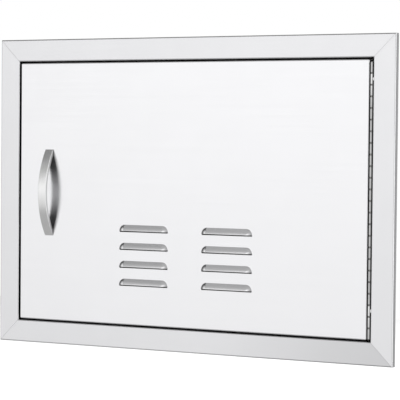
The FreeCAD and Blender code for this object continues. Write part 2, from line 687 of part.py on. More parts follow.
def fasteners():
    """Rivets, screws and washers, each kind of place as one group."""
    pair = as_size(2)
    rear = (1, 0, 0), -90
    strike_rear = door_back + strike_gauge - stand_off
    strike_rivets = turned_group("strike_rivets", rivet_corners(strike_gauge + liner_gauge + door_gauge), [
        ("Y_Axis", strike_rivet_spread, pair)])
    place(strike_rivets, catch_poles_x, strike_rear, strike_rivet_spread / 2, *rear)

    screw_z = handle_screw_centres / 2 - handle_drop
    washer_y = door_gauge - stand_off
    screw_length = washer_gauge + door_gauge + handle_thread_depth - closing_gap
    screws = turned_group("handle_screws", screw_corners(screw_length), [
        ("Y_Axis", handle_screw_centres, pair)])
    place(screws, handle_x, washer_y + washer_gauge, screw_z, *rear)
    washers = turned_group("handle_washers", [
        (screw_hole, zero), (washer_radius, zero), (washer_radius, washer_gauge), (screw_hole, washer_gauge)],
        [("Y_Axis", handle_screw_centres, pair)])
    place(washers, handle_x, washer_y, screw_z, *rear)

    ear_face = stop_gauge + catch_ear_gauge - opening_x
    catch_screws = turned_group(
        "catch_screws", screw_corners(catch_ear_gauge + stop_gauge + frame_gauge + screw_radius),
        [("X_Axis", catch_screw_spread, pair)])
    place(catch_screws, ear_face, catch_screw_y - stand_off, catch_screw_spread / 2, (0, 1, 0), 90)


def stop_angle(label, along, opening, angle):
    """A stop angle, drawn under the top jamb and turned into place about the Y axis."""
    body = add_body(label)
    front = stop_front
    section = add_sketch(body, "section", "YZ_Plane")
    outline(section, [
        (front, opening), (front, opening - stop_leg), (front + stop_gauge, opening - stop_leg),
        (front + stop_gauge, opening - stop_gauge), (front + stop_jamb_leg, opening - stop_gauge),
        (front + stop_jamb_leg, opening)])
    pad(body, section, along, both_ways=True)
    round_edges(body, "outer_bend", frame_bend + stop_gauge, edges_at(body.Shape, y=front, z=opening))
    round_edges(body, "inner_bend", frame_bend,
                edges_at(body.Shape, y=front + stop_gauge, z=opening - stop_gauge))
    place(body, y=-stand_off, axis=(0, 1, 0), angle=angle)
    return body


def door_stops():
    """Stop angles above, below and beside the door, and their push-in bumpers."""
    across = (opening_x - stop_end_gap) * 2
    upright = (opening_z - stop_leg - stop_end_gap) * 2
    top = stop_angle("door_stop_top", across, opening_z, 0)
    bottom = stop_angle("door_stop_bottom", across, opening_z, 180)
    left = stop_angle("door_stop_left", upright, opening_x, -90)
    for stop in (top, bottom):
        places = [(bumper_spread / 2 * side, opening_z - bumper_inset) for side in (1, -1)]
        sheet_holes(stop, "bumper_holes", places, bumper_stem + hole_clearance, stop_front, stop_gauge * THROUGH)
    catch_room = catch_length / 2 + catch_ear + stop_end_gap
    notch = add_sketch(left, "catch_notch", "XZ_Plane", out=-stop_front)
    rectangle(notch, -catch_room, opening_x - stop_leg * THROUGH, catch_room, opening_x - stop_gauge)
    pocket(left, notch, (stop_gauge + frame_bend) * THROUGH, both_ways=True)
    screw_holes = add_sketch(left, "screw_holes", "XY_Plane", out=opening_x)
    for side in (1, -1):
        circle(screw_holes, catch_screw_spread / 2 * side, catch_screw_y, screw_hole)
    pocket(left, screw_holes, stop_gauge * THROUGH, both_ways=True)

    barb_end = -stop_gauge - bumper_barb
    rim = bumper_height / 2
    bumpers = turned_group("stop_bumpers", [
        (zero, barb_end), (bumper_stem / 2, barb_end), (bumper_barb, -stop_gauge), (bumper_stem, -stop_gauge),
        (bumper_stem, zero), (bumper_radius, zero), (bumper_radius, rim),
        (bumper_radius - rim, bumper_height), (zero, bumper_height)],
        [("X_Axis", bumper_spread, as_size(2)), ("Y_Axis", (opening_z - bumper_inset) * 2, as_size(2))])
    place(bumpers, -bumper_spread / 2, stop_front - stand_off, bumper_inset - opening_z, (1, 0, 0), 90)


def magnetic_catch():
    """The catch on the latch jamb: a block with screw ears, two pole plates and the magnet between them."""
    seat = stop_gauge - opening_x
    poles_x = catch_poles_x - seat
    housing = add_body("catch_housing")
    block = add_sketch(housing, "block", "XY_Plane")
    rectangle(block, zero, zero, catch_width, catch_depth)
    pad(housing, block, catch_length, both_ways=True)
    ears = add_sketch(housing, "ears", "XY_Plane")
    rectangle(ears, zero, zero, catch_ear_gauge, catch_depth)
    pad(housing, ears, catch_length + catch_ear * 2, both_ways=True)
    cradle = add_sketch(housing, "cradle", "XZ_Plane")
    half_width = magnet_gauge / 2 + pole_gauge + pocket_clearance
    half_length = pole_length / 2 + pocket_clearance
    rectangle(cradle, poles_x - half_width, -half_length, poles_x + half_width, half_length)
    pocket(housing, cradle, magnet_depth)
    holes = add_sketch(housing, "screw_holes", "YZ_Plane")
    for side in (1, -1):
        circle(holes, catch_depth / 2, catch_screw_spread / 2 * side, screw_hole)
    pocket(housing, holes, catch_ear_gauge * THROUGH, both_ways=True)

    plates = add_body("catch_pole_plates")
    plate = add_sketch(plates, "plate", "XY_Plane")
    left = poles_x - magnet_gauge / 2 - pole_gauge
    rectangle(plate, left, -pole_lead, left + pole_gauge, magnet_depth)
    first = pad(plates, plate, pole_length, both_ways=True)
    repeat(plates, "pair", [first], "X_Axis", pole_pitch, as_size(2))

    magnet = add_body("catch_magnet")
    bar = add_sketch(magnet, "bar", "XY_Plane")
    rectangle(bar, poles_x - magnet_gauge / 2, zero, poles_x + magnet_gauge / 2, magnet_depth)
    pad(magnet, bar, pole_length, both_ways=True)
    for piece in (housing, plates, magnet):
        place(piece, seat, catch_front - stand_off)


def strike_plate():
    """The steel plate on the back of the door that the catch holds."""
    body = add_body("strike_plate")
    blank = add_sketch(body, "blank", "XZ_Plane", out=-door_back)
    rectangle(blank, strike_left, -strike_length / 2, strike_left + strike_width, strike_length / 2)
    pad(body, blank, strike_gauge, back=True)
    strike_holes(body, door_back, strike_gauge)
    place(body, y=-stand_off)


hinge_stile = frame()
door_stops()
magnetic_catch()
door_front_pan()
door_back_liner()
strike_plate()
frame_leaf = hinge_leaf("hinge_frame_leaf", 1, 0)
hinge_leaf("hinge_door_leaf", -1, 1)
hinge_pin()
hinge_tack_welds(hinge_stile, frame_leaf)
handle_bar()
fasteners()
doc.recompute()

for item in doc.Objects:
    if "Invalid" in item.State or "Error" in item.State:
        raise RuntimeError(f"{item.Name} failed: {item.State}")
pieces = [item for item in doc.Objects if item.TypeId == "PartDesign::Body"]
pieces += [doc.getObject(name) for name in ("hinge_pin", "hinge_tack_welds")]
for piece in pieces:
    if piece.Shape.isNull() or not piece.Shape.isValid():
        raise RuntimeError(f"{piece.Label} has no valid shape")
os.makedirs("parts", exist_ok=True)
for piece in pieces:
    piece.Shape.exportStep(f"parts/{piece.Label}.step")
    print(piece.Label, len(piece.Shape.Solids), round(piece.Shape.Volume, 1), piece.Shape.BoundBox)
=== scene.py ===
"""Looks of a built-in stainless access door: brushed sheet, continuous hinge, bow handle and a white studio.

Metres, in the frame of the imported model: +X to the right seen from the front, +Y back into the wall, +Z up.
"""

import json
import math
from functools import partial

import bmesh
import bpy
from bpy.props import FloatProperty, FloatVectorProperty, IntProperty, PointerProperty
from mathutils import Matrix, Vector


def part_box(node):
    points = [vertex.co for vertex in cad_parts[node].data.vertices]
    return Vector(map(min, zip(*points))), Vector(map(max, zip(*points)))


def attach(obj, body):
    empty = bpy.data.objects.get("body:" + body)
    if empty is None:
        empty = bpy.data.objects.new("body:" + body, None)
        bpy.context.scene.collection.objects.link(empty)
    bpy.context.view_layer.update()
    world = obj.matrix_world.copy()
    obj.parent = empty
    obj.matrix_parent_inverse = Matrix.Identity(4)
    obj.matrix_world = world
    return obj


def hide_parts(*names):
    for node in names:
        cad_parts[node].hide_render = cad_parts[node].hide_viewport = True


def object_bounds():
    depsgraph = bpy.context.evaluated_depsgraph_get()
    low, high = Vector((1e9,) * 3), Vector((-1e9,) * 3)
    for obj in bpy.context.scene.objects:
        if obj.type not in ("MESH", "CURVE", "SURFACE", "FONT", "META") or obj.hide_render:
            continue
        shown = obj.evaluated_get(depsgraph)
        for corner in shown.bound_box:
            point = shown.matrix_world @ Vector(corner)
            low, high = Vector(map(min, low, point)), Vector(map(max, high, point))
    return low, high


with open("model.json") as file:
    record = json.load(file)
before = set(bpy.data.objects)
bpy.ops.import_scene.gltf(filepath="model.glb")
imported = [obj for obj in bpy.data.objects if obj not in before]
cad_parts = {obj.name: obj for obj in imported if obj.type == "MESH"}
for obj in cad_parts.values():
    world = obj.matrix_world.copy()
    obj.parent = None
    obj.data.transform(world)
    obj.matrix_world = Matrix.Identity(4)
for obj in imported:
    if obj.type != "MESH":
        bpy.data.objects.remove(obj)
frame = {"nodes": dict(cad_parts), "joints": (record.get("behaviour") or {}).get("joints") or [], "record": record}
cad_low, cad_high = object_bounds()

bl_info = {
    "name": "Built-in access door",
    "version": (1, 0, 0),
    "blender": (4, 5, 0),
    "location": "3D View > Sidebar > Access door",
    "description": "Gives the packed access door its surfaces, fine shapes and studio",
    "category": "Add Mesh",
}

MM = 0.001
MERGE = 1e-6  # vertices of a copied node closer than this are one vertex
TURN_STEPS = 40  # steps round a turned piece
ROUND_STEPS = 6  # steps round a quarter turn of an edge
RECORD = frame["record"]
BODY_OF_NODE = {node: body for body, nodes in RECORD["behaviour"]["bodies"].items() for node in nodes}
FACE_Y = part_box("frame_top_rail")[0].y
DOOR_LOW, DOOR_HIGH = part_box("door_front_pan")
LINER_LOW, LINER_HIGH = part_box("door_back_liner")
LEAF_LOW, LEAF_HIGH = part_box("hinge_frame_leaf")
PIN_LOW, PIN_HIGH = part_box("hinge_pin")
HINGE_AXIS = Vector(frame["joints"][0]["pos_m"])
BARREL = HINGE_AXIS.x - LEAF_LOW.x  # radius of the hinge's knuckles

# Depth behind the front, (start, end), over which a brushed face gives way to its return, where shade is painted
FRAME_FACE = (1.2 * MM, 2.8 * MM)
DOOR_FACE = (0.15 * MM, 1.2 * MM)
HINGE_FACE = (0.1 * MM, 1.4 * MM)

# The same for the returns on a rim, with how dark the shade painted on these gets
RIM_FACE = (0.4 * MM, 1.8 * MM, 0.35)

# Axis of the grain of each rail, and the shade painted on the return of its outer rim
RAILS = {
    "frame_top_rail": ("X", (0.05 * MM, 0.6 * MM, 0.5)),
    "frame_bottom_rail": ("X", (0.2 * MM, 0.9 * MM, 0.4)),
    "frame_left_stile": ("Z", (0.02 * MM, 0.4 * MM, 0.6)),
    "frame_right_stile": ("Z", RIM_FACE),
}


# Values that a user may change

def length(name, default, description, least=0.0):
    """A size or a place in metres."""
    return FloatProperty(name=name, description=description, default=default, min=least, unit="LENGTH",
                         precision=5)


def angle(name, degrees, description):
    """An angle, given in degrees."""
    return FloatProperty(name=name, description=description, default=math.radians(degrees), subtype="ANGLE")


def amount(name, default, description, unit="NONE"):
    """A share or another number."""
    return FloatProperty(name=name, description=description, default=default, unit=unit)


def count(name, default, description):
    """A whole number."""
    return IntProperty(name=name, description=description, default=default)


def tint(name, default, description):
    """A colour."""
    return FloatVectorProperty(name=name, description=description, default=default, subtype="COLOR", size=3,
                               min=0.0, max=1.0)


class AccessDoorSizes(bpy.types.PropertyGroup):
    """Sizes of the fine shapes."""

    smooth_angle: angle("Smooth angle", 30, "Faces that meet flatter than this are shaded as one curve")
    handle_edge: length("Handle edge", 1.0 * MM, "Rounding of the bar's front edges")
    handle_tip: length("Handle tip", 1.2 * MM, "Front of the bar from the skin, at its ends")
    handle_tip_round: length("Handle tip round", 0.8 * MM, "Rounding of the bar's tips")
    handle_thickness: length("Handle thickness", 4.2 * MM, "Thickness of the bar at mid length")
    handle_foot: length("Handle foot", 9 * MM, "Length of a foot on the skin")
    handle_boss: length("Handle boss", 3.4 * MM, "Radius of the boss round a screw")
    handle_boss_height: length("Handle boss height", 3 * MM, "Reach of a boss from the skin into the bar")
    # Painted shade on the bar's back, growing towards the feet, and on its sides near them
    handle_back: amount("Handle back", 0.5, "How unpolished the bar's back is at mid length")
    handle_shade_full: amount("Handle shade full", 0.55, "Where along half the bar its back is wholly unpolished")
    handle_fade: amount("Handle fade", 0.25, "Share over which its sides turn unpolished from there")
    louvre_foot: length("Louvre foot", 0.1 * MM, "A louvre stands out of the skin by more than this")
    louvre_apart: length("Louvre apart", 5 * MM, "Two lips are farther from each other than this")
    # Painted shade in a strip along each louvre's lip
    lip_strip: length("Lip strip", 0.5 * MM, "Height of the unpolished strip along a louvre's lip")
    plate_edge: length("Plate edge", 0.25 * MM, "Rounding of the edges of plates and of the catch")
    knuckles: count("Knuckles", 24, "Knuckles of the hinge, both leaves together")
    knuckle_gap: length("Knuckle gap", 0.6 * MM, "Gap between two knuckles")
    knuckle_edge: length("Knuckle edge", 0.3 * MM, "Rounding of the ends of a knuckle")
    knuckle_bore: length("Knuckle bore", (PIN_HIGH.x - PIN_LOW.x) / 2 + 0.05 * MM, "Radius of the bore")
    leaf_gauge: length("Leaf gauge", 1.0 * MM, "Thickness of the hinge leaves")
    leaf_cut: length("Leaf cut", BARREL + 0.4 * MM, "Start of a leaf's plate from the hinge axis")
    roll_slit: angle("Roll slit", 4, "Slit between a rolled knuckle's end and its leaf")
    bead_ripples: count("Bead ripples", 4, "Ripples along a tack weld")
    bead_ripple: amount("Bead ripple", 0.07, "Depth of a ripple as a share of the bead")
    bumper_radius: length("Bumper radius", 4 * MM, "Radius of a bumper's head")
    bumper_stem: length("Bumper stem", 1.6 * MM, "Radius of a bumper's stem")
    bumper_barb: length("Bumper barb", 2.3 * MM, "Radius of the barb behind the sheet")
    bumper_seat: length("Bumper seat", 1.0 * MM, "Thickness of the sheet that a bumper sits in")
    screw_head: length("Screw head", 2.4 * MM, "Height of a screw's head")
    screw_shank: length("Screw shank", 2 * MM, "Radius of a screw's shank")
    recess_width: length("Recess width", 0.9 * MM, "Width of an arm of a screw's cross recess")
    recess_span: length("Recess span", 3.8 * MM, "Span of a screw's cross recess")
    recess_depth: length("Recess depth", 1.4 * MM, "Depth of a screw's cross recess")
    washer_hole: length("Washer hole", 2.1 * MM, "Radius of a washer's hole")
    rivet_stem: length("Rivet stem", 1.6 * MM, "Radius of a rivet's stem")
    rivet_bulge: length("Rivet bulge", 2.3 * MM, "Radius of the bulge at a rivet's far end")
    rivet_bulge_height: length("Rivet bulge height", 1.8 * MM, "Height of that bulge")
    rivet_dimple: length("Rivet dimple", 0.5 * MM, "Depth of the dimple in a rivet's head")


class AccessDoorFinish(bpy.types.PropertyGroup):
    """Colours and grain of the finishes."""

    door_steel: tint("Door steel", (0.905, 0.905, 0.92), "Brushed front of the door")
    frame_steel: tint("Frame steel", (0.815, 0.815, 0.83), "Brushed front of the frame")
    # Painted shade: the bottom rail turns darker towards its right end
    right_end_shade: amount("Right end shade", 0.82, "Brightness left at the bottom rail's right end, as in the photo")
    # Painted shade: the dark that stands for the shade in the gaps and on the returns behind the faces
    painted_return_shade: tint("Painted return shade", (0.09, 0.09, 0.09), "Painted shade on the sheet behind the faces")
    # Painted shade: the dark on the handle's back and sides and on the louvres' ends and lips
    painted_shade_steel: tint("Painted shade steel", (0.10, 0.10, 0.10), "Painted shade on the handle and the louvres")
    handle_steel: tint("Handle steel", (0.87, 0.87, 0.87), "Satin handle")
    hinge_steel: tint("Hinge steel", (0.57, 0.57, 0.57), "Rolled hinge strip")
    liner_steel: tint("Liner steel", (0.74, 0.745, 0.75), "Mill finish of the liner and the stops")
    burnt_steel: tint("Burnt steel", (0.40, 0.33, 0.24), "Heat tint round a spot weld")
    plated_steel: tint("Plated steel", (0.62, 0.61, 0.58), "Plated strike, pole plates and hinge pin")
    fastener_steel: tint("Fastener steel", (0.60, 0.60, 0.60), "Screws, rivets and washers")
    rubber: tint("Rubber", (0.025, 0.025, 0.026), "Bumpers")
    plastic: tint("Plastic", (0.72, 0.71, 0.67), "Body of the catch")
    ferrite: tint("Ferrite", (0.045, 0.045, 0.05), "Magnet of the catch")
    grain_width: length("Grain width", 0.25 * MM, "Width of a brush line")
    grain_length: length("Grain length", 45 * MM, "Length of a brush line")
    wiping_size: length("Wiping size", 60 * MM, "Size of the wiping marks on brushed sheet")
    seam_width: length("Seam width", 0.5 * MM, "Half width of the weld line across a mitre")
    seam_reach: length("Seam reach", 6 * MM, "How far the dressing reaches beside that line")
    # The dark at a joint is partly dirt and partly painted shade
    joint_width: length("Joint width", 1.5 * MM, "Half width of the dirt and painted shade at a joint between two knuckles")
    weld_pitch: length("Weld pitch", 58 * MM, "Distance between the liner's spot welds")
    weld_radius: length("Weld radius", 2.6 * MM, "Radius of a spot weld's mark")
    weld_inset: length("Weld inset", 7 * MM, "Spot welds from the liner's edge")


class AccessDoorStudio(bpy.types.PropertyGroup):
    """Camera, floor and light.

    Heights and depths are those of a direction's unit vector, shares are of the brightness called front.
    """

    yaw: angle("Yaw", 28.2186, "Camera turned to the object's right")
    pitch: angle("Pitch", 1.9708, "Camera looking down")
    roll: angle("Roll", 0.5159, "Camera tilted about its own axis")
    distance: length("Distance", 2.5517, "Camera from the point that it looks at")
    target_x: length("Target x", 0.0211569, "Point looked at, in the frame's front face", least=-1.0)
    target_z: length("Target z", -0.0059317, "Point looked at, in the frame's front face", least=-1.0)
    lens: amount("Lens", 168.9088, "Focal length for the sensor", unit="CAMERA")
    sensor: amount("Sensor", 36, "Width of the sensor", unit="CAMERA")
    floor_drop: length("Floor drop", 0.25, "Floor below the frame's lower edge")
    floor_size: length("Floor size", 6, "Side of the floor")
    ceiling_height: length("Ceiling height", 3.2, "Light over the object")
    ceiling_size: length("Ceiling size", 5, "Side of the light over the object")
    ceiling_power: amount("Ceiling power", 260, "Power of the light over the object", unit="POWER")
    front: amount("Front", 1.12, "Brightness of the wall that the door mirrors")
    wall_turn: angle("Wall turn", 11, "Middle of that wall, turned to the object's left")
    wall_spread: angle("Wall spread", 35, "Reach of that wall to both sides of its middle")
    wall_top: amount("Wall top", 0.36, "Height at which that wall starts to end")
    wall_end: amount("Wall end", 0.56, "Height at which that wall has ended")
    slope: amount("Slope", 0.30, "How much lower that wall ends on the far left")
    foot: amount("Foot", 0.70, "Share at the foot of that wall")
    side: amount("Side", 0.90, "Share of the side wall on the object's left")
    side_turn: angle("Side turn", 66, "Middle of the side wall, turned to the object's left")
    side_spread: angle("Side spread", 20, "Reach of the side wall to both sides of its middle")
    side_top: amount("Side top", 0.48, "Height at which the side wall starts to end")
    side_end: amount("Side end", 0.68, "Height at which the side wall has ended")
    panel: amount("Panel", 1.6, "Share of the bright panel on the object's right")
    panel_turn: angle("Panel turn", 92, "Middle of the panel, turned to the object's right")
    panel_spread: angle("Panel spread", 24, "Reach of the panel to both sides of its middle")
    edge: angle("Edge", 15, "Half of the soft edge of the walls and the panel")
    between: amount("Between", 0.50, "Share between the wall and the panel")
    beside: amount("Beside", 0.05, "Share on both sides of the door")
    behind: amount("Behind", 0.42, "Share behind the door")
    rear_wall: amount("Rear wall", 0.8, "Share straight behind the door")
    above: amount("Above", 0.40, "Share above the walls")
    corner: amount("Corner", 0.10, "Part of the share above that is left on the far left")
    zenith: amount("Zenith", 0.2, "Part of the share above that is left straight overhead")
    below: amount("Below", 0.41, "Share underfoot")
    floor_start: amount("Floor start", 0.30, "Depth at which the floor starts")
    floor_full: amount("Floor full", 0.46, "Depth at which there is only floor")


def sizes():
    """The sizes that are set."""
    return bpy.context.scene.access_door_sizes


def finish():
    """The colours and grain that are set."""
    return bpy.context.scene.access_door_finish


def studio():
    """The camera, floor and light that are set."""
    return bpy.context.scene.access_door_studio


# Node trees

def add_node(tree, kind, links=(), **settings):
    """A node with its settings, its inputs set by name or number to a value or to another node's output."""
    node = tree.nodes.new(kind)
    for name, value in settings.items():
        setattr(node, name, value)
    for name, value in dict(links).items():
        if isinstance(value, bpy.types.NodeSocket):
            tree.links.new(value, node.inputs[name])
        else:
            node.inputs[name].default_value = value
    return node


def connect(output, socket):
    """Link a node's output to another node's input."""
    output.id_data.links.new(output, socket)


def calculate(operation, *values):
    """The result of a Math node on plain numbers and on outputs of nodes in one tree."""
    tree = next(value.id_data for value in values if isinstance(value, bpy.types.NodeSocket))
    return add_node(tree, "ShaderNodeMath", enumerate(values), operation=operation).outputs[0]


add = partial(calculate, "ADD")
subtract = partial(calculate, "SUBTRACT")
multiply = partial(calculate, "MULTIPLY")
divide = partial(calculate, "DIVIDE")
largest = partial(calculate, "MAXIMUM")
absolute = partial(calculate, "ABSOLUTE")


def off_step(value, pitch):
    """How far a value lies from the nearest whole number of pitches."""
    turns = divide(value, pitch)
    return multiply(subtract(turns, calculate("ROUND", turns)), pitch)


def ramp(value, low, high, to_low=0.0, to_high=1.0):
    """A smooth change of one value with another."""
    return add_node(value.id_data, "ShaderNodeMapRange", {
        "Value": value, "From Min": low, "From Max": high, "To Min": to_low, "To Max": to_high},
        interpolation_type="SMOOTHSTEP").outputs["Result"]


def noise_ramp(noise, to_low=0.0, to_high=1.0):
    """The middle range of a noise, spread over a wider one."""
    return ramp(noise, 0.3, 0.7, to_low, to_high)


def mix(share_of_second, first, second):
    """A blend of two values."""
    return add_node(share_of_second.id_data, "ShaderNodeMix", {
        0: share_of_second, 2: first, 3: second}).outputs[0]


def mix_colour(share_of_second, first, second):
    """A blend of two colours."""
    first, second = (colour if isinstance(colour, bpy.types.NodeSocket) else (*colour, 1.0)
                     for colour in (first, second))
    return add_node(share_of_second.id_data, "ShaderNodeMix", {
        0: share_of_second, 6: first, 7: second}, data_type="RGBA").outputs[2]


def separate(vector):
    """The three parts of a vector."""
    return add_node(vector.id_data, "ShaderNodeSeparateXYZ", {0: vector}).outputs


def new_group(name, inputs, outputs):
    """A shader node group with named sockets: Vector is a vector, the others are numbers."""
    tree = bpy.data.node_groups.new(name, "ShaderNodeTree")
    for in_out, sockets in (("INPUT", inputs), ("OUTPUT", outputs)):
        for socket in sockets:
            kind = "NodeSocketVector" if socket == "Vector" else "NodeSocketFloat"
            tree.interface.new_socket(socket, in_out=in_out, socket_type=kind)
    return tree, tree.nodes.new("NodeGroupInput").outputs, tree.nodes.new("NodeGroupOutput").inputs


def use_group(build, links):
    """The outputs of a shared group in a material's tree. The group is built when it is first asked for."""
    name = build.__name__.removesuffix("_group")
    group = bpy.data.node_groups.get(name) or build(name)
    return add_node(links["Vector"].id_data, "ShaderNodeGroup", links, node_tree=group).outputs


def brushed_grain_group(name):
    """Brush lines along local X: fine lines, and broad soft streaks where the belt pressed harder."""
    tree, given, result = new_group(name, ("Vector", "Width", "Length"), ("Lines", "Streaks"))
    across = divide(1.0, given["Width"])
    along = divide(1.0, given["Length"])
    for output, coarseness, detail in (("Lines", 1.0, 2.0), ("Streaks", 18.0, 1.0)):
        fineness = divide(across, coarseness)
        stretch = add_node(tree, "ShaderNodeCombineXYZ", {
            0: divide(along, math.sqrt(coarseness)), 1: fineness, 2: fineness}).outputs[0]
        scaled = add_node(tree, "ShaderNodeVectorMath", {0: given["Vector"], 1: stretch},
                          operation="MULTIPLY").outputs[0]
        noise = add_node(tree, "ShaderNodeTexNoise", {"Vector": scaled, "Scale": 1.0, "Detail": detail})
        connect(noise.outputs["Fac"], result[output])
    return tree


def handling_marks_group(name):
    """Soft clouds of handling and wiping that change the gloss."""
    tree, given, result = new_group(name, ("Vector", "Size"), ("Marks",))
    noise = add_node(tree, "ShaderNodeTexNoise", {
        "Vector": given["Vector"], "Scale": divide(1.0, given["Size"]), "Detail": 4.0, "Roughness": 0.55,
        "Distortion": 0.6})
    connect(noise_ramp(noise.outputs["Fac"]), result["Marks"])
    return tree


def behind_face_group(name):
    """Painted shade on folded sheet: 0 on its front, 1 on the returns within, the rim's share on its rim."""
    tree, given, result = new_group(name, (
        "Vector", "Start", "End", "Rim Start", "Rim End", "Rim Shade", "Half Width", "Half Height"),
        ("Depth",))
    x, y, z = separate(given["Vector"])
    inner = ramp(y, given["Start"], given["End"])
    outer = ramp(y, given["Rim Start"], given["Rim End"], 0.0, given["Rim Shade"])
    beside = subtract(absolute(x), given["Half Width"])
    above = subtract(absolute(z), given["Half Height"])
    rim_start, rim_full = -6 * MM, -4 * MM
    within = ramp(largest(beside, above), rim_start, rim_full, 1.0, 0.0)
    connect(mix(within, outer, inner), result["Depth"])
    return tree


def mitre_line_group(name):
    """The ground weld line across the frame's corners, with the blurred dressing beside it."""
    tree, given, result = new_group(name, (
        "Vector", "Offset", "Width", "Reach"), ("Line", "Dressing"))
    x, y, z = separate(given["Vector"])
    gap = absolute(subtract(subtract(absolute(x), absolute(z)), given["Offset"]))
    connect(ramp(gap, 0.0, given["Width"], 1.0, 0.0), result["Line"])
    connect(ramp(gap, 0.0, given["Reach"], 1.0, 0.0), result["Dressing"])
    return tree


def joint_lines_group(name):
    """A barrel along Z: flanks in painted shade, joints with dirt and painted shade, knuckles dressed bright.

    The dressing starts at the heights High and Low, the joints above the tack welds, and fades out below.
    """
    tree, given, result = new_group(name, (
        "Vector", "Start", "Pitch", "Width", "Axis", "Radius", "High", "Low"), ("Line", "Dressed"))
    # Painted shade on both flanks; at the joints dirt and painted shade together
    left_flank, right_flank = (-0.45, -0.15), (0.58, 0.82)  # in barrel radii from the axis
    wholly_dirt_and_shade = 0.4  # share of the dirt's half width
    dressed_knuckles = 3.0
    x, y, z = separate(given["Vector"])
    across = divide(subtract(x, given["Axis"]), given["Radius"])
    flanks = largest(ramp(across, *left_flank, 1.0, 0.0), ramp(across, *right_flank))
    gap = absolute(off_step(subtract(z, given["Start"]), given["Pitch"]))
    line = ramp(gap, multiply(given["Width"], wholly_dirt_and_shade), given["Width"], 1.0, 0.0)
    connect(largest(line, flanks), result["Line"])
    dressed = []
    for joint in ("High", "Low"):
        above = subtract(z, given[joint])
        fading = ramp(divide(above, given["Pitch"]), -dressed_knuckles, 0.0)
        dressed.append(multiply(fading, calculate("LESS_THAN", above, 0.0)))
    connect(largest(*dressed), result["Dressed"])
    return tree


def spot_welds_group(name):
    """Round marks of spot welds along the edges of a sheet in the XZ plane, round the vector's zero."""
    tree, given, result = new_group(name, (
        "Vector", "Half Width", "Half Height", "Pitch", "Radius"), ("Mark", "Halo"))
    full_mark, halo_end = 0.8, 2.6  # in weld radii
    x, y, z = separate(given["Vector"])
    distances = []
    for along, across, edge in ((x, z, "Half Height"), (z, x, "Half Width")):
        from_weld = add_node(tree, "ShaderNodeCombineXYZ", {
            0: off_step(along, given["Pitch"]), 1: subtract(absolute(across), given[edge])}).outputs[0]
        distances.append(add_node(tree, "ShaderNodeVectorMath", {0: from_weld},
                                  operation="LENGTH").outputs["Value"])
    gap = calculate("MINIMUM", *distances)
    radius = given["Radius"]
    connect(ramp(gap, multiply(radius, full_mark), radius, 1.0, 0.0), result["Mark"])
    connect(ramp(gap, radius, multiply(radius, halo_end), 1.0, 0.0), result["Halo"])
    return tree


# Materials

def shade(colour, factor):
    """A colour made darker or lighter."""
    return tuple(min(channel * factor, 1.0) for channel in colour)


def new_material(name, metallic):
    """A new material with its shader's inputs and its object coordinates."""
    material = bpy.data.materials.new(name)
    material.use_nodes = True
    shader = material.node_tree.nodes["Principled BSDF"].inputs
    shader["Metallic"].default_value = metallic
    return material, shader, add_node(material.node_tree, "ShaderNodeTexCoord").outputs["Object"]


def feed(shader, base, rough, height, relief):
    """Feed a shader its colour, its roughness and a relief as deep as a height of 1."""
    bump = add_node(base.id_data, "ShaderNodeBump", {"Height": height, "Distance": relief, "Strength": 1.0})
    connect(base, shader["Base Color"])
    connect(rough, shader["Roughness"])
    connect(bump.outputs[0], shader["Normal"])


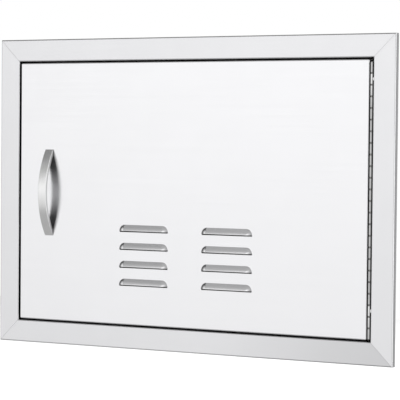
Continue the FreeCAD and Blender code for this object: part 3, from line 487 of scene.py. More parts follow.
def steel(name, colour, grain_axis, roughness, contrast=0.02, relief=0.03 * MM, face=None, rim=(1.0, 1.0),
          rim_face=RIM_FACE, mitred=False, joints=None, unpolished=False, right_end_shade=None):
    """Brushed sheet with its grain along an axis.

    face is (start, end) of the depth over which the brushed front gives way to returns in painted shade.
    rim is (half width, half height) of the edges whose returns differ, by default too far off for any.
    rim_face is (start, end) of the depth over which shade is painted on these, and that shade's share.
    mitred draws the weld lines across the corners of that rim.
    joints is where the knuckles of a hinge strip are, as named inputs of the joint lines group.
    The flag after joints says that the mesh carries an attribute of that flag's name, 1 where shade is painted.
    The last argument is the share of brightness left at the right end of a rail, from its middle on: a painted
    shade.
    """
    gloss_change, line_roughness, dressing_roughness = 0.06, 0.04, 0.05
    return_roughness, painted_shade_roughness = 0.15, 0.3
    seam_shade, joint_dirt_and_flank_shade = 0.62, 0.08
    turns = {"X": (0, 0, 0), "Z": (0, math.pi / 2, 0)}

    material, shader, place = new_material(name, metallic=1.0)
    along = add_node(place.id_data, "ShaderNodeMapping", {"Vector": place, "Rotation": turns[grain_axis]})
    grain = use_group(brushed_grain_group, {
        "Vector": along.outputs[0], "Width": finish().grain_width, "Length": finish().grain_length})
    marks = use_group(handling_marks_group, {"Vector": place, "Size": finish().wiping_size})["Marks"]
    blend = add(multiply(grain["Lines"], 0.5), multiply(grain["Streaks"], 0.5))
    base = mix_colour(blend, shade(colour, 1 - contrast), shade(colour, 1 + contrast))
    rough = ramp(marks, 0.0, 1.0, roughness * (1 - gloss_change), roughness * (1 + gloss_change))
    rough = add(rough, multiply(grain["Lines"], line_roughness))
    # Painted shade towards the rail's right end
    if right_end_shade is not None:
        to_right_end = ramp(separate(place)[0], 0.0, cad_high.x)
        base = mix_colour(to_right_end, base, shade(colour, right_end_shade))
    if mitred:
        seam = use_group(mitre_line_group, {
            "Vector": place, "Offset": rim[0] - rim[1], "Width": finish().seam_width,
            "Reach": finish().seam_reach})
        base = mix_colour(seam["Line"], base, shade(colour, seam_shade))
        rough = add(rough, multiply(seam["Dressing"], dressing_roughness))
    # Painted shade on the returns behind the front, in the gaps and along the outer rim
    if face is not None:
        depth = use_group(behind_face_group, {
            "Vector": place, "Start": FACE_Y + face[0], "End": FACE_Y + face[1],
            "Rim Start": FACE_Y + rim_face[0], "Rim End": FACE_Y + rim_face[1], "Rim Shade": rim_face[2],
            "Half Width": rim[0], "Half Height": rim[1]})["Depth"]
        base = mix_colour(depth, base, finish().painted_return_shade)
        rough = add(rough, multiply(depth, return_roughness))
    # Dirt and painted shade at the joints, painted shade on the barrel's flanks
    if joints is not None:
        barrel = use_group(joint_lines_group, {"Vector": place, "Width": finish().joint_width, **joints})
        base = mix_colour(barrel["Dressed"], base, finish().handle_steel)
        base = mix_colour(barrel["Line"], base, shade(colour, joint_dirt_and_flank_shade))
    # Painted shade where the mesh's attribute is 1
    if unpolished:
        painted_shade_share = add_node(place.id_data, "ShaderNodeAttribute", attribute_name="unpolished").outputs["Fac"]
        base = mix_colour(painted_shade_share, base, finish().painted_shade_steel)
        rough = add(rough, multiply(painted_shade_share, painted_shade_roughness))
    feed(shader, base, rough, grain["Lines"], relief)
    return material


def welded_sheet(name, colour):
    """Mill-finished sheet with a row of spot-weld marks along each edge."""
    contrast, cloud_size, coarser, longer = 0.07, 110 * MM, 3, 2
    halo_share, mark_share, mark_shade = 0.45, 0.6, 0.7
    least_rough, most_rough, mark_roughness = 0.30, 0.42, 0.12
    grain_share, weld_depth = 0.03, 0.2 * MM

    material, shader, place = new_material(name, metallic=1.0)
    middle = (LINER_LOW + LINER_HIGH) / 2
    half = (LINER_HIGH - LINER_LOW) / 2
    centred = add_node(place.id_data, "ShaderNodeMapping", {"Vector": place, "Location": tuple(-middle)})
    welds = use_group(spot_welds_group, {
        "Vector": centred.outputs[0], "Half Width": half.x - finish().weld_inset,
        "Half Height": half.z - finish().weld_inset, "Pitch": finish().weld_pitch,
        "Radius": finish().weld_radius})
    grain = use_group(brushed_grain_group, {
        "Vector": place, "Width": finish().grain_width * coarser,
        "Length": finish().grain_length * longer})
    marks = use_group(handling_marks_group, {"Vector": place, "Size": cloud_size})["Marks"]
    base = mix_colour(grain["Streaks"], shade(colour, 1 - contrast), shade(colour, 1 + contrast))
    base = mix_colour(multiply(welds["Halo"], halo_share), base, finish().burnt_steel)
    base = mix_colour(multiply(welds["Mark"], mark_share), base, shade(colour, mark_shade))
    rough = add(ramp(marks, 0.0, 1.0, least_rough, most_rough), multiply(welds["Mark"], mark_roughness))
    height = subtract(multiply(grain["Lines"], grain_share), welds["Mark"])
    feed(shader, base, rough, height, weld_depth)
    return material


def moulded(name, colour, roughness, metallic=0.0, pebble=0.5 * MM, relief=0.02 * MM):
    """A moulded or pressed surface with a fine pebble and cloudy gloss."""
    cloud_size, darkest, lightest, gloss_change = 12 * MM, 0.88, 1.1, 0.15
    material, shader, place = new_material(name, metallic)
    marks = use_group(handling_marks_group, {"Vector": place, "Size": cloud_size})["Marks"]
    grain = add_node(place.id_data, "ShaderNodeTexNoise", {
        "Vector": place, "Scale": 1.0 / pebble, "Detail": 3.0}).outputs["Fac"]
    base = mix_colour(marks, shade(colour, darkest), shade(colour, lightest))
    rough = noise_ramp(grain, roughness * (1 - gloss_change), roughness * (1 + gloss_change))
    feed(shader, base, rough, grain, relief)
    return material


# Meshes

def new_object(name, mesh, material=None):
    """An object at the origin with its place in its mesh."""
    piece = bpy.data.objects.new(name, mesh)
    bpy.context.scene.collection.objects.link(piece)
    if material is not None:
        mesh.materials.clear()
        mesh.materials.append(material)
    return piece


def stand_for(piece, *nodes):
    """Let a finished piece stand for CAD nodes: it moves with their body, and the nodes are hidden."""
    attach(piece, BODY_OF_NODE[nodes[0]])
    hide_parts(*nodes)


def smooth(mesh):
    """Shade a mesh smooth, with its edges kept sharp."""
    mesh.polygons.foreach_set("use_smooth", [True] * len(mesh.polygons))
    mesh.set_sharp_from_angle(angle=sizes().smooth_angle)


def keep_flat(piece):
    """Let large faces rule the shading, so that flat sheet stays flat beside its bends."""
    normals = piece.modifiers.new("flat_faces_stay_flat", "WEIGHTED_NORMAL")
    normals.keep_sharp = True
    return piece


def round_edges(piece, width, segments):
    """A modifier that rounds the sharp edges of a piece."""
    rounding = piece.modifiers.new("rounded_edges", "BEVEL")
    rounding.width = width
    rounding.segments = segments
    rounding.limit_method = "ANGLE"
    rounding.angle_limit = sizes().smooth_angle
    return rounding


def mesh_from(body, name):
    """A mesh with the shape of a bmesh, which is freed."""
    mesh = bpy.data.meshes.new(name)
    body.to_mesh(mesh)
    body.free()
    return mesh


def copy_of_node(node):
    """The mesh of a CAD node with its loose triangles merged into one skin."""
    source = frame["nodes"][node].data
    mesh = bpy.data.meshes.new(f"{node}_look")
    mesh.from_pydata([vertex.co for vertex in source.vertices], [],
                     [face.vertices for face in source.polygons])
    skin = bmesh.new()
    skin.from_mesh(mesh)
    bmesh.ops.remove_doubles(skin, verts=skin.verts, dist=MERGE)
    skin.to_mesh(mesh)
    skin.free()
    return mesh


def dress(node, material, edge=0.0, prepare=None):
    """Show a CAD node as a smooth copy with a material.

    edge rounds its edges where it is more than nothing, and prepare is done to the copy's mesh first.
    """
    mesh = copy_of_node(node)
    if prepare is not None:
        prepare(mesh)
    smooth(mesh)
    piece = new_object(f"{node}_look", mesh, material)
    if edge > 0.0:
        round_edges(piece, edge, segments=3).harden_normals = True
    stand_for(keep_flat(piece), node)


def share(value, low, high):
    """How far a value has come from low to high, within 0 and 1."""
    return min(max((value - low) / (high - low), 0.0), 1.0)


def quarter_turn(steps):
    """Angles of a quarter turn, both ends with them."""
    return [math.pi / 2 * step / steps for step in range(steps + 1)]


def crown(radius, height, rounding):
    """(radius, height) points round the upper edge of a turned piece, from its top to its side."""
    return [(radius - rounding + rounding * math.sin(a), height - rounding + rounding * math.cos(a))
            for a in quarter_turn(ROUND_STEPS)]


def prism(name, outline, low, high):
    """A mesh with an outline in XY drawn up from one height to another."""
    body = bmesh.new()
    lower, upper = ([body.verts.new((x, y, z)) for x, y in outline] for z in (low, high))
    for index in range(len(outline)):
        body.faces.new((lower[index - 1], lower[index], upper[index], upper[index - 1]))
    body.faces.new(list(reversed(lower)))
    body.faces.new(upper)
    bmesh.ops.recalc_face_normals(body, faces=body.faces)
    return mesh_from(body, name)


def turn_to(direction):
    """The turn that lays +Z along a direction."""
    return Vector((0, 0, 1)).rotation_difference(direction).to_matrix().to_4x4()


def turned(name, profile, direction):
    """A mesh turned from a closed profile of (radius, height) points, its axis along a direction."""
    body = bmesh.new()
    angles = [2 * math.pi * step / TURN_STEPS for step in range(TURN_STEPS)]
    rings = []
    for radius, height in profile:
        on_axis = radius == 0.0
        rings.append([body.verts.new((radius * math.cos(a), radius * math.sin(a), height))
                      for a in (angles[:1] if on_axis else angles)])
    for lower, upper in zip(rings, rings[1:] + rings[:1]):
        if len(lower) == 1 and len(upper) == 1:
            continue
        for step in range(TURN_STEPS):
            following = (step + 1) % TURN_STEPS
            corners = [lower[step % len(lower)], lower[following % len(lower)],
                       upper[following % len(upper)], upper[step % len(upper)]]
            body.faces.new(list(dict.fromkeys(corners)))
    bmesh.ops.recalc_face_normals(body, faces=body.faces)
    mesh = mesh_from(body, name)
    mesh.transform(turn_to(direction))
    return mesh


def baked(piece):
    """The plain mesh that an object's modifiers give, in place of the object."""
    mesh = bpy.data.meshes.new_from_object(piece.evaluated_get(bpy.context.evaluated_depsgraph_get()))
    bpy.data.objects.remove(piece)
    return mesh


def rounded(mesh, edge):
    """A mesh with its sharp edges rounded."""
    piece = new_object("rounding", mesh)
    round_edges(piece, edge, segments=2)
    return baked(piece)


def copies_tree():
    """Geometry nodes that set copies of a mesh in rows and columns, as one mesh with a material."""
    tree = bpy.data.node_groups.new("rows_of_copies", "GeometryNodeTree")
    tree.is_modifier = True
    for name, kind in (("Geometry", "Geometry"), ("Columns", "Int"), ("Rows", "Int"), ("First", "Vector"),
                       ("Column Step", "Vector"), ("Row Step", "Vector"), ("Material", "Material")):
        tree.interface.new_socket(name, in_out="INPUT", socket_type=f"NodeSocket{kind}")
    tree.interface.new_socket("Geometry", in_out="OUTPUT", socket_type="NodeSocketGeometry")
    given = tree.nodes.new("NodeGroupInput").outputs

    def step(kind, links):
        return add_node(tree, f"GeometryNode{kind}", links).outputs[0]

    columns = step("MeshLine", {
        "Count": given["Columns"], "Start Location": given["First"], "Offset": given["Column Step"]})
    rows = step("MeshLine", {"Count": given["Rows"], "Offset": given["Row Step"]})
    grid = step("InstanceOnPoints", {"Points": rows, "Instance": columns})
    points = step("RealizeInstances", {0: grid})
    copies = step("InstanceOnPoints", {"Points": points, "Instance": given["Geometry"]})
    solid = step("RealizeInstances", {0: copies})
    painted = step("SetMaterial", {"Geometry": solid, "Material": given["Material"]})
    add_node(tree, "NodeGroupOutput", {0: painted})
    return tree


def rows_of(name, unit, material, first, column, row=(1, Vector())):
    """An object of copies of a unit mesh: (count, step) along a column and a row, from a first place."""
    tree = bpy.data.node_groups.get("rows_of_copies") or copies_tree()
    inputs = [item for item in tree.interface.items_tree if item.in_out == "INPUT"]
    identifiers = {item.name: item.identifier for item in inputs}
    piece = new_object(name, unit)
    rows = piece.modifiers.new("rows_of_copies", "NODES")
    rows.node_group = tree
    for socket, value in (("Columns", column[0]), ("Rows", row[0]), ("Column Step", column[1]),
                          ("Row Step", row[1]), ("First", first), ("Material", material)):
        rows[identifiers[socket]] = value
    mesh = baked(piece)
    mesh.name = name
    smooth(mesh)
    return keep_flat(new_object(name, mesh))


def pair_up(node, radius):
    """First place of two round pieces one above the other in a node's box, and (2, step to the second)."""
    low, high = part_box(node)
    first = (low + high) / 2
    first.z = low.z + radius
    return first, (2, Vector((0, 0, high.z - low.z - 2 * radius)))


class AccessDoorOperator:
    """What the building steps share."""

    bl_options = {"REGISTER", "UNDO"}


class ACCESSDOOR_OT_frame(AccessDoorOperator, bpy.types.Operator):
    """Dress the four mitred rails of the frame in sheet brushed along each rail"""

    bl_idname = "access_door.frame"
    bl_label = "Frame rails"

    def execute(self, context):
        for node, (axis, rim_face) in RAILS.items():
            # Only the bottom rail gets the painted shade towards its right end
            right_end_shade = finish().right_end_shade if node == "frame_bottom_rail" else None
            dress(node, steel(f"{node}_sheet", finish().frame_steel, axis, roughness=0.20, face=FRAME_FACE,
                              rim=(cad_high.x, cad_high.z), rim_face=rim_face, mitred=True, right_end_shade=right_end_shade))
        return {"FINISHED"}


class ACCESSDOOR_OT_door(AccessDoorOperator, bpy.types.Operator):
    """Dress the door's louvred front pan and its spot-welded liner"""

    bl_idname = "access_door.door"
    bl_label = "Door skins"

    def lips(self, mesh):
        """Heights of the louvres' lips, found from the foremost vertices of each row."""
        foremost = sorted(vertex.co.z for vertex in mesh.vertices
                          if vertex.co.y < DOOR_LOW.y + sizes().louvre_foot)
        return foremost[:1] + [above for below, above in zip(foremost, foremost[1:])
                               if above - below > sizes().louvre_apart]

    def mark_louvres(self, mesh):
        """Mark where shade is painted on the louvres: on their steep ends and in a strip along their lips."""
        left_end, right_end, right_mark = (0.10, 0.25), (0.50, 0.75), 0.8
        steep_end = (0.35, 0.60)
        lips = self.lips(mesh)
        skin = bmesh.new()
        skin.from_mesh(mesh)
        for lip in lips:
            everything = skin.verts[:] + skin.edges[:] + skin.faces[:]
            bmesh.ops.bisect_plane(skin, geom=everything, dist=MERGE, plane_no=(0, 0, 1),
                                   plane_co=(0, 0, lip + sizes().lip_strip))
        bmesh.ops.dissolve_degenerate(skin, dist=MERGE, edges=skin.edges)
        skin.to_mesh(mesh)
        skin.free()
        marks = []
        for face in mesh.polygons:
            on_lip = any(0.0 <= face.center.z - lip < sizes().lip_strip for lip in lips)
            on_end = max(share(-face.normal.x, *left_end), right_mark * share(face.normal.x, *right_end))
            for index in face.vertices:
                vertex = mesh.vertices[index]
                steep = math.hypot(vertex.normal.x, vertex.normal.z)
                # 1 on a lip's strip, and on a steep end by its steepness: where shade is painted
                mark = 1.0 if on_lip else on_end * share(steep, *steep_end)
                marks.append(mark if vertex.co.y < FACE_Y - sizes().louvre_foot else 0.0)
        mesh.attributes.new("unpolished", "FLOAT", "CORNER").data.foreach_set("value", marks)

    def execute(self, context):
        sheet = steel("door_sheet", finish().door_steel, "X", roughness=0.17, face=DOOR_FACE,
                      rim=(cad_high.x, DOOR_HIGH.z), unpolished=True)
        dress("door_front_pan", sheet, prepare=self.mark_louvres)
        dress("door_back_liner", welded_sheet("liner_sheet", finish().liner_steel))
        return {"FINISHED"}


class ACCESSDOOR_OT_hinge(AccessDoorOperator, bpy.types.Operator):
    """Roll the knuckles of the continuous hinge, with their leaves, pin and tack welds"""

    bl_idname = "access_door.hinge"
    bl_label = "Continuous hinge"

    def knuckle_outline(self, side, seat):
        """Section of a rolled knuckle and the tab that joins it to its leaf, round the hinge axis."""
        plate = seat - sizes().leaf_gauge
        meet = math.atan2(math.sqrt(BARREL ** 2 - plate ** 2), plate)
        start = meet + sizes().roll_slit
        arc = [start + (2 * math.pi - start) * step / TURN_STEPS for step in range(TURN_STEPS + 1)]
        outer = [(BARREL * math.cos(a), BARREL * math.sin(a)) for a in arc]
        tab = [(seat, 0.0), (seat, sizes().leaf_cut), (plate, sizes().leaf_cut),
               (BARREL * math.cos(meet), BARREL * math.sin(meet))]
        bore = sizes().knuckle_bore
        inner = [(bore * math.cos(a), bore * math.sin(a)) for a in [meet + 2 * math.pi, *reversed(arc)]]
        return [(x * side, y) for x, y in outer + tab + inner]

    def leaf(self, node, pitch, material, side, first_knuckle):
        """One leaf: its flat plate and every second knuckle, on one side of the hinge axis."""
        seat = LEAF_HIGH.x - HINGE_AXIS.x
        height = pitch - sizes().knuckle_gap
        unit = rounded(prism("knuckle", self.knuckle_outline(side, seat), -height / 2, height / 2),
                       sizes().knuckle_edge)
        top = LEAF_HIGH.z - pitch / 2 - first_knuckle * pitch
        first = Vector((HINGE_AXIS.x, HINGE_AXIS.y, top))
        knuckles = rows_of(f"{node}_knuckles", unit, material, first,
                           (sizes().knuckles // 2, Vector((0, 0, -2 * pitch))))
        near, far = (seat - sizes().leaf_gauge) * side, seat * side
        front, back = sizes().leaf_cut, LEAF_HIGH.y - HINGE_AXIS.y
        corners = [(near, front), (far, front), (far, back), (near, back)]
        plate_mesh = prism("plate", corners, LEAF_LOW.z, LEAF_HIGH.z)
        plate_mesh.transform(Matrix.Translation((HINGE_AXIS.x, HINGE_AXIS.y, 0)))
        plate = new_object(f"{node}_plate", rounded(plate_mesh, sizes().plate_edge / 2), material)
        for piece in (knuckles, plate):
            stand_for(piece, node)

    def tack_bead(self, size):
        """A weld bead: a rippled, rounded drop."""
        steps, ripple = 28, sizes().bead_ripple
        bead = bmesh.new()
        bmesh.ops.create_uvsphere(bead, u_segments=steps, v_segments=steps, radius=0.5)
        for vertex in bead.verts:
            swell = 1 - ripple + ripple * math.cos(2 * math.pi * sizes().bead_ripples * vertex.co.z)
            vertex.co *= size * Vector((swell, swell, 1.0))
        return mesh_from(bead, "tack_bead")

    def execute(self, context):
        pitch = (LEAF_HIGH.z - LEAF_LOW.z) / sizes().knuckles
        low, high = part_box("hinge_tack_welds")
        size = Vector((high.x - low.x, high.y - low.y, pitch / 3))  # a bead is a third of a knuckle high
        high_joint, low_joint = (LEAF_LOW.z + math.ceil((middle - LEAF_LOW.z) / pitch) * pitch
                                 for middle in (high.z - size.z / 2, low.z + size.z / 2))
        strip = steel("hinge_strip", finish().hinge_steel, "Z", roughness=0.15, contrast=0.05,
                      relief=0.004 * MM, face=HINGE_FACE,
                      joints={"Start": LEAF_LOW.z, "Pitch": pitch, "Axis": HINGE_AXIS.x, "Radius": BARREL,
                              "High": high_joint, "Low": low_joint})
        self.leaf("hinge_frame_leaf", pitch, strip, side=1, first_knuckle=1)
        self.leaf("hinge_door_leaf", pitch, strip, side=-1, first_knuckle=0)
        rod = steel("hinge_rod", finish().plated_steel, "Z", roughness=0.25)
        dress("hinge_pin", rod, sizes().plate_edge)
        first, column = pair_up("hinge_tack_welds", size.z / 2)
        metal = moulded("weld_bead", shade(finish().handle_steel, 1.1), roughness=0.3, metallic=1.0)
        stand_for(rows_of("tack_welds", self.tack_bead(size), metal, first, column), "hinge_tack_welds")
        return {"FINISHED"}


class ACCESSDOOR_OT_handle(AccessDoorOperator, bpy.types.Operator):
    """Loft the bow handle with rounded front edges, and shade painted on its back and, near the feet, on its sides
    """

    bl_idname = "access_door.handle"
    bl_label = "Bow handle"

    def arc(self, place, half, rise):
        """How far an arc with a half chord and a rise stands off its chord at a place along it."""
        radius = (half ** 2 + rise ** 2) / (2 * rise)
        return math.sqrt(max(radius ** 2 - place ** 2, 0.0)) - radius + rise

    def stations(self, half):
        """Places along the bar for its sections, each with what the tip's rounding takes off its front."""
        tip_steps, foot_steps, span_steps = 5, 6, 24
        rounding = sizes().handle_tip_round
        opening = half - sizes().handle_foot
        flat = half - rounding
        tip = [(half - rounding * (1 - math.cos(a)), rounding * (1 - math.sin(a)))
               for a in quarter_turn(tip_steps)]
        foot = [(flat - (flat - opening) * step / foot_steps, 0.0) for step in range(1, foot_steps + 1)]
        span = [(opening * (1 - step / span_steps), 0.0) for step in range(1, span_steps + 1)]
        upper = tip + foot + span
        return upper + [(-place, drop) for place, drop in reversed(upper[:-1])]

    def section(self, place, drop, half, width, reach):
        """Section of the bar, once round: (x, distance from the skin, share of painted shade)."""
        most_edge, most_hem = 0.6, 0.2  # of the bar's thickness there
        size = sizes()
        opening = half - size.handle_foot
        front = size.handle_tip + self.arc(place, half, reach - size.handle_tip) - drop
        back = 0.0
        if abs(place) < opening:
            back = self.arc(place, opening, reach - size.handle_thickness)
        edge = min(size.handle_edge, (front - back) * most_edge)
        hem = min(size.plate_edge, (front - back) * most_hem)
        # Painted shade on the back, more towards the feet, and on the sides near them
        from_middle = abs(place) / half
        back_shade_growth = share(from_middle, 0.0, size.handle_shade_full) ** 2
        back_shade = size.handle_back + (1 - size.handle_back) * back_shade_growth
        side_shade = share(from_middle, size.handle_shade_full, size.handle_shade_full + size.handle_fade)
        corner = [(width - edge + edge * math.cos(a), front - edge + edge * math.sin(a), 0.0)
                  for a in quarter_turn(ROUND_STEPS)]
        right = [(width - hem, back, back_shade), (width, back + hem, side_shade), *corner]
        return right + [(-x, depth, mark) for x, depth, mark in reversed(right)]

    def bar(self):
        """The bar's mesh, with the attribute that says where shade is painted on it."""
        low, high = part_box("handle_bar")
        middle = (low + high) / 2
        half = (high.z - low.z) / 2
        body = bmesh.new()
        marks = []
        rings = []
        for place, drop in self.stations(half):
            ring = []
            for x, depth, mark in self.section(place, drop, half, (high.x - low.x) / 2, high.y - low.y):
                ring.append(body.verts.new((middle.x + x, high.y - depth, middle.z + place)))
                marks.append(mark)
            rings.append(ring)
        for upper, lower in zip(rings, rings[1:]):
            for index in range(len(upper)):
                body.faces.new((upper[index - 1], upper[index], lower[index], lower[index - 1]))
        for ring in (rings[0], rings[-1]):
            body.faces.new(ring)
        screw_low, screw_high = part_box("handle_screws")
        first, (bosses, step) = pair_up("handle_screws", (screw_high.x - screw_low.x) / 2)
        radius, height = sizes().handle_boss, sizes().handle_boss_height
        first.y = high.y - height / 2
        for index in range(bosses):
            upright = Matrix.Translation(first + step * index) @ Matrix.Rotation(math.pi / 2, 4, "X")
            boss = bmesh.ops.create_cone(body, cap_ends=True, segments=TURN_STEPS, radius1=radius,
                                         radius2=radius, depth=height, matrix=upright)
            marks.extend([1.0] * len(boss["verts"]))
        bmesh.ops.recalc_face_normals(body, faces=body.faces)
        mesh = mesh_from(body, "handle_bar_look")
        mesh.attributes.new("unpolished", "FLOAT", "POINT").data.foreach_set("value", marks)
        return mesh

    def execute(self, context):
        satin = steel("handle_bar", finish().handle_steel, "Z", roughness=0.19, contrast=0.06,
                      relief=0.012 * MM, unpolished=True)
        mesh = self.bar()
        smooth(mesh)
        stand_for(keep_flat(new_object("handle_bar_look", mesh, satin)), "handle_bar")
        return {"FINISHED"}


class ACCESSDOOR_OT_stops(AccessDoorOperator, bpy.types.Operator):
    """Dress the stop angles and set the rubber bumpers in them"""

    bl_idname = "access_door.stops"
    bl_label = "Stops and bumpers"

    def execute(self, context):
        dull_steel = shade(finish().liner_steel, 0.6)
        for node, axis in (("door_stop_top", "X"), ("door_stop_bottom", "X"), ("door_stop_left", "Z")):
            dress(node, steel(f"{node}_sheet", dull_steel, axis, roughness=0.42))
        low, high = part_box("stop_bumpers")
        stop_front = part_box("door_stop_top")[0].y
        rise, tail = stop_front - low.y, high.y - stop_front
        radius, stem, seat = sizes().bumper_radius, sizes().bumper_stem, sizes().bumper_seat
        profile = [(0.0, rise), *crown(radius, rise, rise), (stem, 0.0), (stem, -seat),
                   (sizes().bumper_barb, -seat), (stem / 2, -tail), (0.0, -tail)]
        unit = turned("bumper", profile, Vector((0, -1, 0)))
        first = Vector((low.x + radius, stop_front, low.z + radius))
        across = (2, Vector((high.x - low.x - 2 * radius, 0, 0)))
        up = (2, Vector((0, 0, high.z - low.z - 2 * radius)))
        rubber = moulded("bumper_rubber", finish().rubber, roughness=0.6)
        stand_for(rows_of("bumpers", unit, rubber, first, across, up), "stop_bumpers")
        return {"FINISHED"}


class ACCESSDOOR_OT_catch(AccessDoorOperator, bpy.types.Operator):
    """Dress the magnetic catch and the strike plate that it holds"""

    bl_idname = "access_door.catch"
    bl_label = "Catch and strike"

    def execute(self, context):
        edge = sizes().plate_edge
        plated = steel("plated_plate", finish().plated_steel, "Z", roughness=0.33, contrast=0.08)
        dress("catch_housing", moulded("catch_body", finish().plastic, roughness=0.5), edge * 2)
        dress("catch_pole_plates", plated, edge)
        dress("catch_magnet", moulded("catch_ferrite", finish().ferrite, roughness=0.7, pebble=0.2 * MM))
        dress("strike_plate", plated, edge)
        return {"FINISHED"}


class ACCESSDOOR_OT_fasteners(AccessDoorOperator, bpy.types.Operator):
    """Set the cross-recess screws, the washers and the blind rivets"""

    bl_idname = "access_door.fasteners"
    bl_label = "Screws, washers and rivets"

    def screw(self, head, depth, direction):
        """A pan-head screw whose head stands out along a direction from the zero point."""
        height, shank = sizes().screw_head, sizes().screw_shank
        shoulder, tip = height * 0.55, shank * 0.4
        profile = [(0.0, height), *crown(head, height, shoulder), (head, 0.0), (shank, 0.0),
                   (shank, -depth + shank), (tip, -depth), (0.0, -depth)]
        blank = new_object("screw", turned("screw", profile, Vector((0, 0, 1))))
        arm, reach = sizes().recess_width / 2, sizes().recess_span / 2
        quarter = [(reach, -arm), (reach, arm), (arm, arm)]
        cross = quarter + [(-y, x) for x, y in quarter]
        cross += [(-x, -y) for x, y in cross]
        tool = new_object("driver", prism("driver", cross, height - sizes().recess_depth, height * 2))
        recess = blank.modifiers.new("recess", "BOOLEAN")
        recess.object = tool
        recess.operation = "DIFFERENCE"
        recess.solver = "EXACT"
        mesh = baked(blank)
        bpy.data.objects.remove(tool)
        mesh.transform(turn_to(direction))
        return mesh

    def screws(self, node, axis, metal):
        """The two screws of a node, their heads towards the higher end of an axis."""
        low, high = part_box(node)
        head = (high[1 - axis] - low[1 - axis]) / 2
        first, column = pair_up(node, head)
        first[axis] = high[axis] - sizes().screw_head
        direction = Vector()
        direction[axis] = 1.0
        unit = self.screw(head, first[axis] - low[axis], direction)
        stand_for(rows_of(f"{node}_set", unit, metal, first, column), node)

    def washers(self, metal):
        """The two washers under the handle's screws, with chamfered edges."""
        low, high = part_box("handle_washers")
        hole, radius, gauge = sizes().washer_hole, (high.x - low.x) / 2, high.y - low.y
        edge = gauge / 5
        ring = [(hole, 0.0), (radius - edge, 0.0), (radius, edge), (radius, gauge - edge),
                (radius - edge, gauge), (hole, gauge)]
        first, column = pair_up("handle_washers", radius)
        first.y = low.y
        unit = turned("washer", ring, Vector((0, 1, 0)))
        stand_for(rows_of("washers", unit, metal, first, column), "handle_washers")

    def rivets(self, metal):
        """The two blind rivets of the strike, each with a dimpled dome and a bulge at its far end."""
        dome_steps, dimple_steps = 8, 3
        low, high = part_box("strike_rivets")
        head = (high.x - low.x) / 2
        height = high.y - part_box("strike_plate")[1].y
        depth = high.y - low.y - height
        dome_radius = (head ** 2 + height ** 2) / (2 * height)
        spread = math.asin(head / dome_radius)
        dome = [(dome_radius * math.sin(a), height - dome_radius + dome_radius * math.cos(a))
                for a in (spread * step / dome_steps for step in range(dimple_steps, dome_steps + 1))]
        dimple = height - sizes().rivet_dimple
        stem, bulge = sizes().rivet_stem, sizes().rivet_bulge
        bulge_start = sizes().rivet_bulge_height - depth
        profile = [(0.0, dimple), (dome[0][0], dimple), *dome, (stem, 0.0), (stem, bulge_start),
                   (bulge, bulge_start), (bulge * 0.7, -depth), (0.0, -depth)]
        first, column = pair_up("strike_rivets", head)
        first.y = high.y - height
        unit = turned("rivet", profile, Vector((0, 1, 0)))
        stand_for(rows_of("rivets", unit, metal, first, column), "strike_rivets")

    def execute(self, context):
        bare = steel("fastener", finish().fastener_steel, "Z", roughness=0.30, contrast=0.09)
        for node, axis in (("catch_screws", 0), ("handle_screws", 1)):
            self.screws(node, axis, bare)
        self.washers(bare)
        self.rivets(bare)
        return {"FINISHED"}


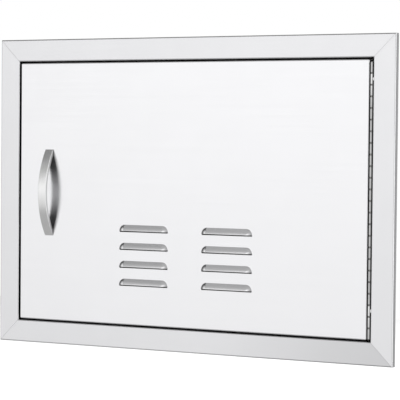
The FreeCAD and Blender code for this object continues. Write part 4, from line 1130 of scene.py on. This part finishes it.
class ACCESSDOOR_OT_studio(AccessDoorOperator, bpy.types.Operator):
    """Set the camera, the pale floor and the soft light round the door"""

    bl_idname = "access_door.studio"
    bl_label = "Studio"

    def camera(self):
        """The camera, turned about the object by yaw and pitch and tilted by roll."""
        view = studio()
        level = Vector((math.cos(view.yaw), math.sin(view.yaw), 0.0))
        ahead = Vector((-level.y * math.cos(view.pitch), level.x * math.cos(view.pitch),
                        -math.sin(view.pitch)))
        upright = level.cross(ahead)
        right = math.cos(view.roll) * level + math.sin(view.roll) * upright
        up = math.cos(view.roll) * upright - math.sin(view.roll) * level
        camera = new_object("camera", bpy.data.cameras.new("camera"))
        camera.data.sensor_width = view.sensor
        camera.data.lens = view.lens
        target = Vector((view.target_x, FACE_Y, view.target_z))
        camera.matrix_world = Matrix.Translation(target - ahead * view.distance) @ Matrix(
            (right, up, -ahead)).transposed().to_4x4()
        bpy.context.scene.camera = camera

    def floor(self):
        """A pale matt floor, left out of the steel's reflections."""
        dark, light, cloud_size = (0.91, 0.91, 0.91), (0.94, 0.94, 0.94), 0.4
        material, shader, place = new_material("floor", metallic=0.0)
        marks = use_group(handling_marks_group, {"Vector": place, "Size": cloud_size})["Marks"]
        connect(mix_colour(marks, dark, light), shader["Base Color"])
        shader["Roughness"].default_value = 0.9
        half = studio().floor_size / 2
        low = cad_low.z - studio().floor_drop
        mesh = bpy.data.meshes.new("floor")
        corners = [(-half, -half, low), (half, -half, low), (half, half, low), (-half, half, low)]
        mesh.from_pydata(corners, [], [(0, 1, 2, 3)])
        floor = new_object("floor", mesh, material)
        floor.visible_glossy = False

    def lamp(self):
        """A broad light overhead for the floor, left out of the steel's reflections."""
        light = bpy.data.lights.new("ceiling", "AREA")
        light.energy = studio().ceiling_power
        light.size = studio().ceiling_size
        ceiling = new_object("ceiling", light)
        ceiling.location = (0, 0, studio().ceiling_height)
        ceiling.visible_glossy = False

    def bright_field(self, bearing, turn, spread):
        """1 where a bearing is within a spread of a turn from straight ahead, 0 a little outside of it."""
        away = absolute(subtract(bearing, turn))
        return ramp(away, spread - studio().edge, spread + studio().edge, 1.0, 0.0)

    def world(self):
        """A studio that is white in front, grey above and behind, and plain white where the camera looks."""
        world = bpy.data.worlds.new("studio")
        world.use_nodes = True
        bpy.context.scene.world = world
        tree = world.node_tree
        x, y, z = separate(add_node(tree, "ShaderNodeTexCoord").outputs["Generated"])
        bearing = calculate("ARCTAN2", x, multiply(y, -1.0))
        down = multiply(z, -1.0)
        look = studio()

        # Where along x, y or z of the direction one part of the studio gives way to the next
        far_left, left, centre = (-0.62, -0.49), (-0.35, 0.15), (-0.3, 0.3)
        front_to_back, beside_to_behind, rear_wall = (-0.1, 0.4), (0.3, 0.7), (0.92, 0.98)
        wall_foot, below_to_above, overhead = (-0.35, 0.15), (-0.1, 0.1), (0.85, 1.0)
        floor = (look.floor_start, look.floor_full)

        wall = self.bright_field(bearing, -look.wall_turn, look.wall_spread)
        panel = self.bright_field(bearing, look.panel_turn, look.panel_spread)
        side = self.bright_field(bearing, -look.side_turn, look.side_spread)
        side = multiply(side, ramp(z, look.side_top, look.side_end, 1.0, 0.0))
        side = multiply(side, ramp(down, *floor, 1.0, 0.0))
        height = add(z, ramp(x, *far_left, look.slope, 0.0))
        steep = largest(ramp(height, look.wall_top, look.wall_end), ramp(down, *floor))

        rear = ramp(y, *beside_to_behind, look.beside, look.behind)
        rear = ramp(y, *rear_wall, rear, look.rear_wall)
        back = ramp(x, *left, look.beside, rear)
        right = ramp(x, *centre, back, look.between)
        above = multiply(ramp(x, *far_left, look.corner, 1.0), look.above)
        ends = multiply(ramp(z, *below_to_above, look.below, above), ramp(z, *overhead, 1.0, look.zenith))

        level = mix(ramp(y, *front_to_back, 1.0, 0.0), back, right)
        level = mix(wall, level, ramp(z, *wall_foot, look.foot, 1.0))
        level = mix(panel, level, look.panel)
        level = mix(steep, level, ends)
        level = mix(side, level, look.side)
        to_camera = add_node(tree, "ShaderNodeLightPath").outputs["Is Camera Ray"]
        background = tree.nodes["Background"].inputs
        background["Color"].default_value = (1.0, 1.0, 1.0, 1.0)
        connect(mix(to_camera, multiply(level, look.front), 1.0), background["Strength"])

    def execute(self, context):
        self.camera()
        self.floor()
        self.lamp()
        self.world()
        context.scene.view_settings.view_transform = "Standard"
        return {"FINISHED"}


BUILDING_STEPS = (ACCESSDOOR_OT_frame, ACCESSDOOR_OT_door, ACCESSDOOR_OT_hinge, ACCESSDOOR_OT_handle,
                  ACCESSDOOR_OT_stops, ACCESSDOOR_OT_catch, ACCESSDOOR_OT_fasteners, ACCESSDOOR_OT_studio)


class ACCESSDOOR_PT_panel(bpy.types.Panel):
    """Lists the building steps and their values"""

    bl_label = "Access door"
    bl_idname = "ACCESSDOOR_PT_panel"
    bl_space_type = "VIEW_3D"
    bl_region_type = "UI"
    bl_category = "Access door"

    def draw(self, context):
        for step in BUILDING_STEPS:
            self.layout.operator(step.bl_idname)
        for group in (sizes(), finish(), studio()):
            box = self.layout.box()
            for name in group.bl_rna.properties.keys():
                if name not in ("rna_type", "name"):
                    box.prop(group, name)


PROPERTY_GROUPS = {"access_door_sizes": AccessDoorSizes, "access_door_finish": AccessDoorFinish,
                   "access_door_studio": AccessDoorStudio}
CLASSES = (*PROPERTY_GROUPS.values(), *BUILDING_STEPS, ACCESSDOOR_PT_panel)


def register():
    """Make the classes known and hang the values on the scene."""
    for item in CLASSES:
        bpy.utils.register_class(item)
    for name, group in PROPERTY_GROUPS.items():
        setattr(bpy.types.Scene, name, PointerProperty(type=group))


def unregister():
    """Take back what register did."""
    for name in PROPERTY_GROUPS:
        delattr(bpy.types.Scene, name)
    for item in reversed(CLASSES):
        bpy.utils.unregister_class(item)


def main():
    """Build every piece and the studio."""
    register()
    for step in BUILDING_STEPS:
        group, name = step.bl_idname.split(".")
        getattr(getattr(bpy.ops, group), name)()


if __name__ == "__main__":
    main()
